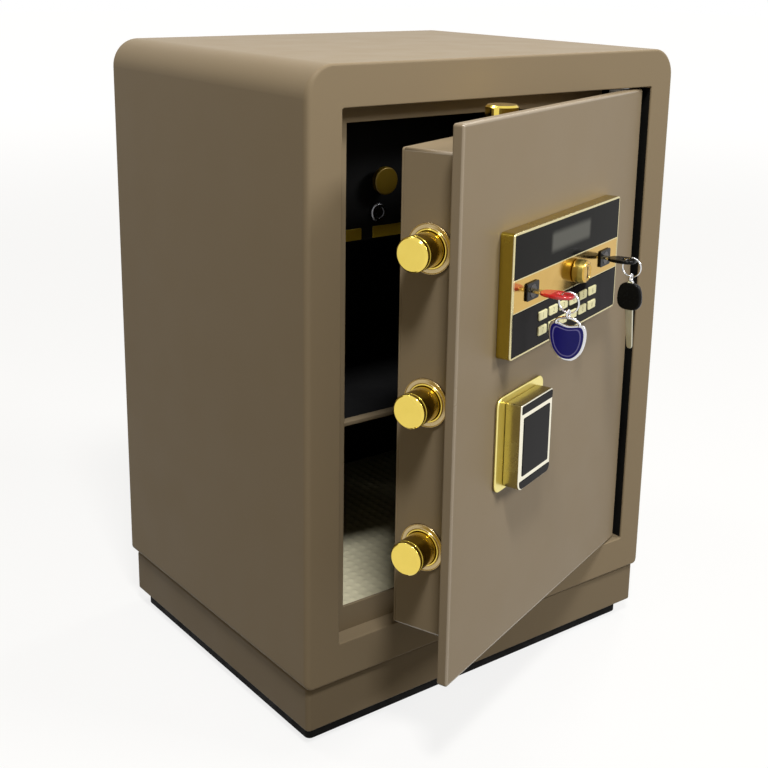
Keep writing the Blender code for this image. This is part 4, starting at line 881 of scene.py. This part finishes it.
# Keys in the lock
# Each key has a plug that turns in the lock, a brass blade, and a flat moulded bow with an eye: red on the
# left key, black on the right.
red = drifting("red_translucent_plastic", (0.62, 0.012, 0.016), (0.5, 0.008, 0.012), 0.008, (0.1, 0.2),
               Coat_Weight=0.6, Subsurface_Weight=0.15)
key_black = drifting("black_key_plastic", (0.003, 0.003, 0.003), (0.005, 0.005, 0.005), 0.006, (0.2, 0.3),
                     shine=0.1)
blade_brass = plated("key_blade_brass", (0.66, 0.55, 0.26), (0.58, 0.47, 0.2), 0.004, (0.2, 0.32))
plug_steel = plated("key_plug_steel", (0.075, 0.07, 0.07), (0.06, 0.055, 0.055), 0.004, (0.2, 0.32))
PLUG_R, PLUG_L, PLUG_GAP, BLADE_W, BLADE_T, BLADE_LAP = 0.006, 0.0019, 0.0003, 0.008, 0.0022, 0.0012
BOW_T, BOW_EDGE = 0.003, 0.0009


def ways_out(outline):
    """The way out at each point of a smooth anticlockwise outline: its tangent turned clockwise."""
    along = np.roll(outline, -1, 0) - np.roll(outline, 1, 0)
    along /= np.linalg.norm(along, axis=1, keepdims=True)
    return np.stack([along[:, 1], -along[:, 0]], -1)


def superellipse(power, count):
    """Points on |u|^p + |v|^p = 1, anticlockwise: u and v are cos a and sin a to 2/p, with their signs."""
    a = np.linspace(0, 2 * np.pi, count, endpoint=False)
    return [np.sign(part) * np.abs(part) ** (2 / power) for part in (np.cos(a), np.sin(a))]


def bow_outline(x, tip, heel, half):
    """A bow seen from above: a superellipse of power 2.6, drawn in a little towards the blade."""
    u, v = superellipse(2.6, 72)
    return np.stack([x + half * u * (1 - 0.14 * (v + 1) / 2), (tip + heel) / 2 + (heel - tip) / 2 * v], -1)


profile = eased([(0.0006, 0), (PLUG_R, 0), (PLUG_R, PLUG_L), (0.0006, PLUG_L)], 0.0003)
for end, colour, slot, blade_out, eye_in, eye_r in (
    ("left", red, "red_plastic", 0.007, 0.01185, 0.0028),
    ("right", key_black, "black_gloss", 0.003, 0.01038, 0.0034),
):
    node = "key_" + end
    low, high = shut_box(node)
    x, _, z = middle(low, high)
    tip = low[1]
    plug_face = shut_box("keyhole_" + end)[0][1] - PLUG_GAP
    heel = plug_face - blade_out
    outline = bow_outline(x, tip, heel, (high[0] - low[0]) / 2)
    shape = bored_plate(outline, ways_out(outline), z - BOW_T / 2, z + BOW_T / 2, BOW_EDGE, (x, tip + eye_in),
                        eye_r, TOP)
    door_piece(node + "_bow", shape, colour, node, slot, node)
    blade_low = (x - BLADE_W / 2, heel - BLADE_LAP, z - BLADE_T / 2)
    blade_high = (x + BLADE_W / 2, plug_face - 0.0001, z + BLADE_T / 2)
    shape = slab(blade_low, blade_high, TOP, 0.0008, 0.0003)
    door_piece(node + "_blade", shape, blade_brass, node, "polished_brass")
    shape = turned(profile, (x, plug_face + PLUG_L, z), LEVEL_OUT, 40)
    door_piece(node + "_plug", shape, plug_steel, node, "zinc_steel")

# Key rings
# Split rings of plated spring wire, wound twice, through the eye of each bow.
WIRE_R, WIRE_SHARE, TURN_SHIFT = 0.0009, 0.62, 0.00066
ACROSS = (1.0, 0.0, 0.0)


def hoop(centre, axis, radius, wire, sides=56, facets=10):
    """A wire ring: a circle carried round an ellipse, R plus r cos b outward and r sin b along the axis.

    A pair of radii is the ellipse's half width, then its half height.
    """
    w = np.array(axis, float) / np.linalg.norm(axis)
    u = np.cross(w, (0.0, 0.0, 1.0))
    u /= np.linalg.norm(u)
    v = np.cross(w, u)
    a = np.linspace(0, 2 * np.pi, sides, endpoint=False)[:, None, None]
    b = np.linspace(0, 2 * np.pi, facets, endpoint=False)[None, :, None]
    wide, high = np.broadcast_to(radius, 2)
    outward = np.cos(a) * u + np.sin(a) * v
    path = np.array(centre) + wide * np.cos(a) * u + high * np.sin(a) * v
    return loft(path + wire * np.cos(b) * outward + wire * np.sin(b) * w, closed=True)


for node in ("ring_left", "ring_right"):
    low, high = shut_box(node)
    radius = (high[2] - low[2]) / 2 - WIRE_R
    for name, shift in (("inner", -TURN_SHIFT), ("outer", TURN_SHIFT)):
        shape = hoop(middle(low, high) + np.array([shift, 0, 0]), ACROSS, radius, WIRE_R * WIRE_SHARE)
        door_piece(node + "_" + name, shape, chrome, node, "zinc_steel", node)

# Shield tag
# A plated tag that hangs from the left ring: a wire eye, a clip, and a bright margin round a raised field of
# plain blue enamel.
enamel = drifting("blue_enamel_field", (0.006, 0.005, 0.15), (0.008, 0.006, 0.185), 0.004, (0.15, 0.25),
                  shine=0.2)
line_blue = drifting("pale_blue_line", (0.17, 0.16, 0.42), (0.2, 0.19, 0.46), 0.004, (0.2, 0.3), shine=0.2)
LEFT = np.array([[0, -1.0, 0], [0, 0, 1], [-1, 0, 0]])
EYE_R, EYE_WIRE, TAG_H, TAG_T = 0.003, 0.001, 0.035, 0.003
PLATING_DOWN, FIELD_DEEP, FIELD_DOWN = 0.0006, 0.0004, 0.00012
SHIELD = np.array([(0, 0), (0.42, 0.04), (0.84, 0.25), (1.03, 0.55), (1.04, 0.82), (0.86, 0.97), (0.44, 0.92),
                   (0, 0.88)])
SHIELD_MIDDLE = np.array([0, 0.48])
low, high = shut_box("tag_left")
at = middle(low, high)
half = (high[1] - low[1]) / 2
point_z = low[2]


def shield_outline(share, rounds=4):
    """A plump shield with a dip in its top edge, anticlockwise, drawn in about its middle to a share.

    Each round cuts every corner of a control outline: a side from P to Q keeps 3/4 P + 1/4 Q and
    1/4 P + 3/4 Q.
    """
    line = np.concatenate([SHIELD, SHIELD[-2:0:-1] * np.array([-1.0, 1.0])])
    for _ in range(rounds):
        after = np.roll(line, -1, 0)
        line = np.stack([0.75 * line + 0.25 * after, 0.25 * line + 0.75 * after], 1).reshape(-1, 2)
    line = SHIELD_MIDDLE + (line - SHIELD_MIDDLE) * share
    return line * np.array([half, TAG_H]) + np.array([-at[1], point_z])


def tag_plate(share, w0, w1, edge):
    """A flat plate of the shield's outline with rounded edges."""
    outline = shield_outline(share)
    return plate(outline, ways_out(outline), *edge_profile(w0, w1, edge, edge, 4, 0.0001), LEFT)


def wire_eye(name, body, top):
    """A small wire eye under a height, above the middle of the piece it belongs to, and its centre."""
    eye_at = np.array([at[0], at[1], top - EYE_R - EYE_WIRE])
    door_piece(name, hoop(eye_at, LEVEL_OUT, EYE_R, EYE_WIRE, 40), chrome, body, "zinc_steel")
    return eye_at


tag_back, tag_front = -at[0] - TAG_T / 2, -at[0] + TAG_T / 2
shape = tag_plate(1.0, tag_back, tag_front - PLATING_DOWN, 0.0007)
door_piece("tag_plated_back", shape, chrome, "tag_left", "zinc_steel", "tag_left")
for name, share, rise, finish in (("rim", 0.88, 0.0, enamel), ("line", 0.76, 0.00006, line_blue),
                                  ("middle", 0.7, 0.00012, enamel)):
    shape = tag_plate(share, tag_back + FIELD_DEEP, tag_front - FIELD_DOWN + rise, 0.00004)
    door_piece("tag_enamel_" + name, shape, finish, "tag_left", "blue_enamel")
wire_eye("tag_eye", "tag_left", high[2])
clip_at = np.array([at[0], at[1], point_z + TAG_H * 0.93])
shape = hoop(clip_at, ACROSS, (half * 0.66, 0.005), 0.0013)
door_piece("tag_clip", shape, chrome, "tag_left", "zinc_steel")

# Spare key
# A second key hangs from the right ring: a moulded black head with a wire eye, and a long pale blade that
# tapers and leans.
spare_steel = plated("nickel_key_blade", (0.62, 0.6, 0.48), (0.58, 0.56, 0.44), 0.02, (0.3, 0.4))
HEAD_H, HEAD_T, HEAD_EDGE, SPARE_BLADE_W, SPARE_BLADE_L = 0.026, 0.0055, 0.0018, 0.0075, 0.042
TIP_CUT, BLADE_LEAN, BLADE_TAPER, BLADE_IN = 0.005, 0.0035, 0.35, 0.004
NECK_T, NECK_W, NECK_IN, NECK_LAP = 0.0024, 0.006, 0.003, 0.0004
low, high = shut_box("spare_key")
at = middle(low, high)
half = (high[1] - low[1]) / 2
tip_z = low[2]
heel_z = tip_z + SPARE_BLADE_L
crown_z = heel_z + HEAD_H


def head_cushion():
    """A rounded head with a wide soft edge, so that both faces are slightly crowned.

    Its outline is a superellipse of power 3.4 that narrows towards its crown and, less, towards its foot.
    """
    u, v = superellipse(3.4, 80)
    narrow = 1 - 0.15 * np.clip(v, 0, 1) - 0.1 * np.clip(-v, 0, 1) ** 3
    outline = np.stack([-at[1] + half * u * narrow, (heel_z + crown_z) / 2 + HEAD_H / 2 * v], -1)
    edges = edge_profile(-at[0] - HEAD_T / 2, -at[0] + HEAD_T / 2, HEAD_EDGE, HEAD_EDGE)
    return plate(outline, ways_out(outline), *edges, LEFT)


def cut_blade(shape):
    """Narrows and leans a straight blade by the share t that a point lies below the head.

    y' = c + (y - c)(1 - taper t) - lean t, where c is the blade's middle line.
    """
    points, faces = shape
    t = np.clip((heel_z - points[:, 2]) / SPARE_BLADE_L, 0, 1)
    across = at[1] + (points[:, 1] - at[1]) * (1 - BLADE_TAPER * t) - BLADE_LEAN * t
    return np.stack([points[:, 0], across, points[:, 2]], -1), faces


door_piece("spare_key_head", head_cushion(), key_black, "spare_key", "black_gloss", "spare_key")
blade_low = (at[0] - BLADE_T / 2, at[1] - SPARE_BLADE_W / 2, tip_z + TIP_CUT)
blade_high = (at[0] + BLADE_T / 2, at[1] + SPARE_BLADE_W / 2, heel_z + BLADE_IN)
shape = cut_blade(slab(blade_low, blade_high, LEFT, (0.001, 0.001, 0.0028, 0.0028), 0.0003))
door_piece("spare_key_blade", shape, spare_steel, "spare_key", "zinc_steel")
eye_at = wire_eye("spare_key_eye", "spare_key", high[2])
neck_low = (at[0] - NECK_T / 2, at[1] - NECK_W / 2, crown_z - NECK_IN)
neck_high = (at[0] + NECK_T / 2, at[1] + NECK_W / 2, eye_at[2] - EYE_R + NECK_LAP)
shape = slab(neck_low, neck_high, LEFT, 0.002, 0.0005)
door_piece("spare_key_neck", shape, chrome, "spare_key", "zinc_steel")

# Floor
# A wide floor of pale paper. Its own colour returns a little light; rays that show the backdrop also see it
# glow, so that it is as white as the backdrop where it is lit and keeps the safe's shadow. Far away the glow
# alone is nearly white.
FLOOR_HALF = 14
FADE_FROM, FADE_GLOW = (0.8, 5.0), (0.81, 0.97)
mesh = bpy.data.meshes.new("pale_floor")
corners = [(x * FLOOR_HALF, y * FLOOR_HALF, 0) for x, y in ((-1, -1), (1, -1), (1, 1), (-1, 1))]
mesh.from_pydata(corners, [], [(0, 1, 2, 3)])
placed("pale_floor", mesh)


def seen(tree):
    """1 for a ray that shows the backdrop: from the camera, off gloss or through glass. 0 for others."""
    path = shader_node(tree, "LightPath", {})
    either = maths(tree, "MAXIMUM", path["Is Camera Ray"], path["Is Glossy Ray"])
    return maths(tree, "MAXIMUM", either, path["Is Transmission Ray"])


paper = bpy.data.materials.new("pale_floor_paper")
paper.use_nodes = True
tree = paper.node_tree
tree.nodes.clear()
matt = shader_node(tree, "BsdfDiffuse", {"Color": (0.16, 0.157, 0.15, 1)})["BSDF"]
place = shader_node(tree, "TexCoord", {})["Object"]
away = shader_node(tree, "VectorMath", {0: place}, operation="LENGTH")["Value"]
fade = ramp(tree, away, FADE_FROM, FADE_GLOW, "SMOOTHSTEP")
glow = shader_node(tree, "Emission", {"Strength": maths(tree, "MULTIPLY", seen(tree), fade)})["Emission"]
both = shader_node(tree, "AddShader", {0: matt, 1: glow})["Shader"]
shader_node(tree, "OutputMaterial", {"Surface": both})
mesh.materials.append(paper)

# Light and backdrop
# A white backdrop, a soft box overhead, a rim light at the right, a key to the right of the front, and a fill
# high on the left that reaches into the chamber. The left side is left in the open shade, which is warm.
SHADE, WHITE = (0.25, 0.212, 0.142, 1), (1, 1, 1, 1)
world = bpy.data.worlds.new("white_backdrop")
bpy.context.scene.world = world
world.use_nodes = True
tree = world.node_tree
shade = mixed(tree, seen(tree), SHADE, WHITE)
tree.links.new(shade, tree.nodes["Background"].inputs["Color"])


def soft_box(name, at, target, size, power):
    """A square lamp at a point, turned to look at another."""
    lamp = bpy.data.lights.new(name, "AREA")
    lamp.shape = "SQUARE"
    lamp.size = size
    lamp.energy = power
    obj = placed(name, lamp)
    obj.location = at
    obj.rotation_euler = (Vector(target) - Vector(at)).to_track_quat("-Z", "Y").to_euler()


soft_box("overhead_soft_box", (-0.65, 0.68, 2.3), (0.0, 0.0, 0.4), 0.4, 9)
soft_box("rim_soft_box", (1.5, 0.5, 2.0), (0.0, -0.2, 0.5), 0.35, 9)
soft_box("key_soft_box", (1.6, -2.2, 2.2), (0.0, -0.2, 0.35), 0.9, 56)
soft_box("fill_soft_box", (-0.68, -1.15, 2.31), (-0.06, -0.02, 0.09), 0.35, 40)

# Camera
# It looks from the left of the front and down. A small lens shift lets the upright edges lean in only a
# little.
YAW, PITCH, ROLL = math.radians(37.405), math.radians(14.886), math.radians(0.907)
STAND = (-0.77105, -1.00102, 0.69789)
camera = bpy.data.cameras.new("camera")
camera.sensor_width = 36
camera.lens = 58.78
camera.shift_y = -0.12
viewer = placed("camera", camera)
turns = ((-YAW, "Z"), (math.pi / 2 - PITCH, "X"), (ROLL, "Z"))
pan, tilt, roll = [Matrix.Rotation(angle, 4, axis) for angle, axis in turns]
viewer.matrix_world = Matrix.Translation(STAND) @ pan @ tilt @ roll
bpy.context.scene.camera = viewer
bpy.context.scene.view_settings.view_transform = "Standard"
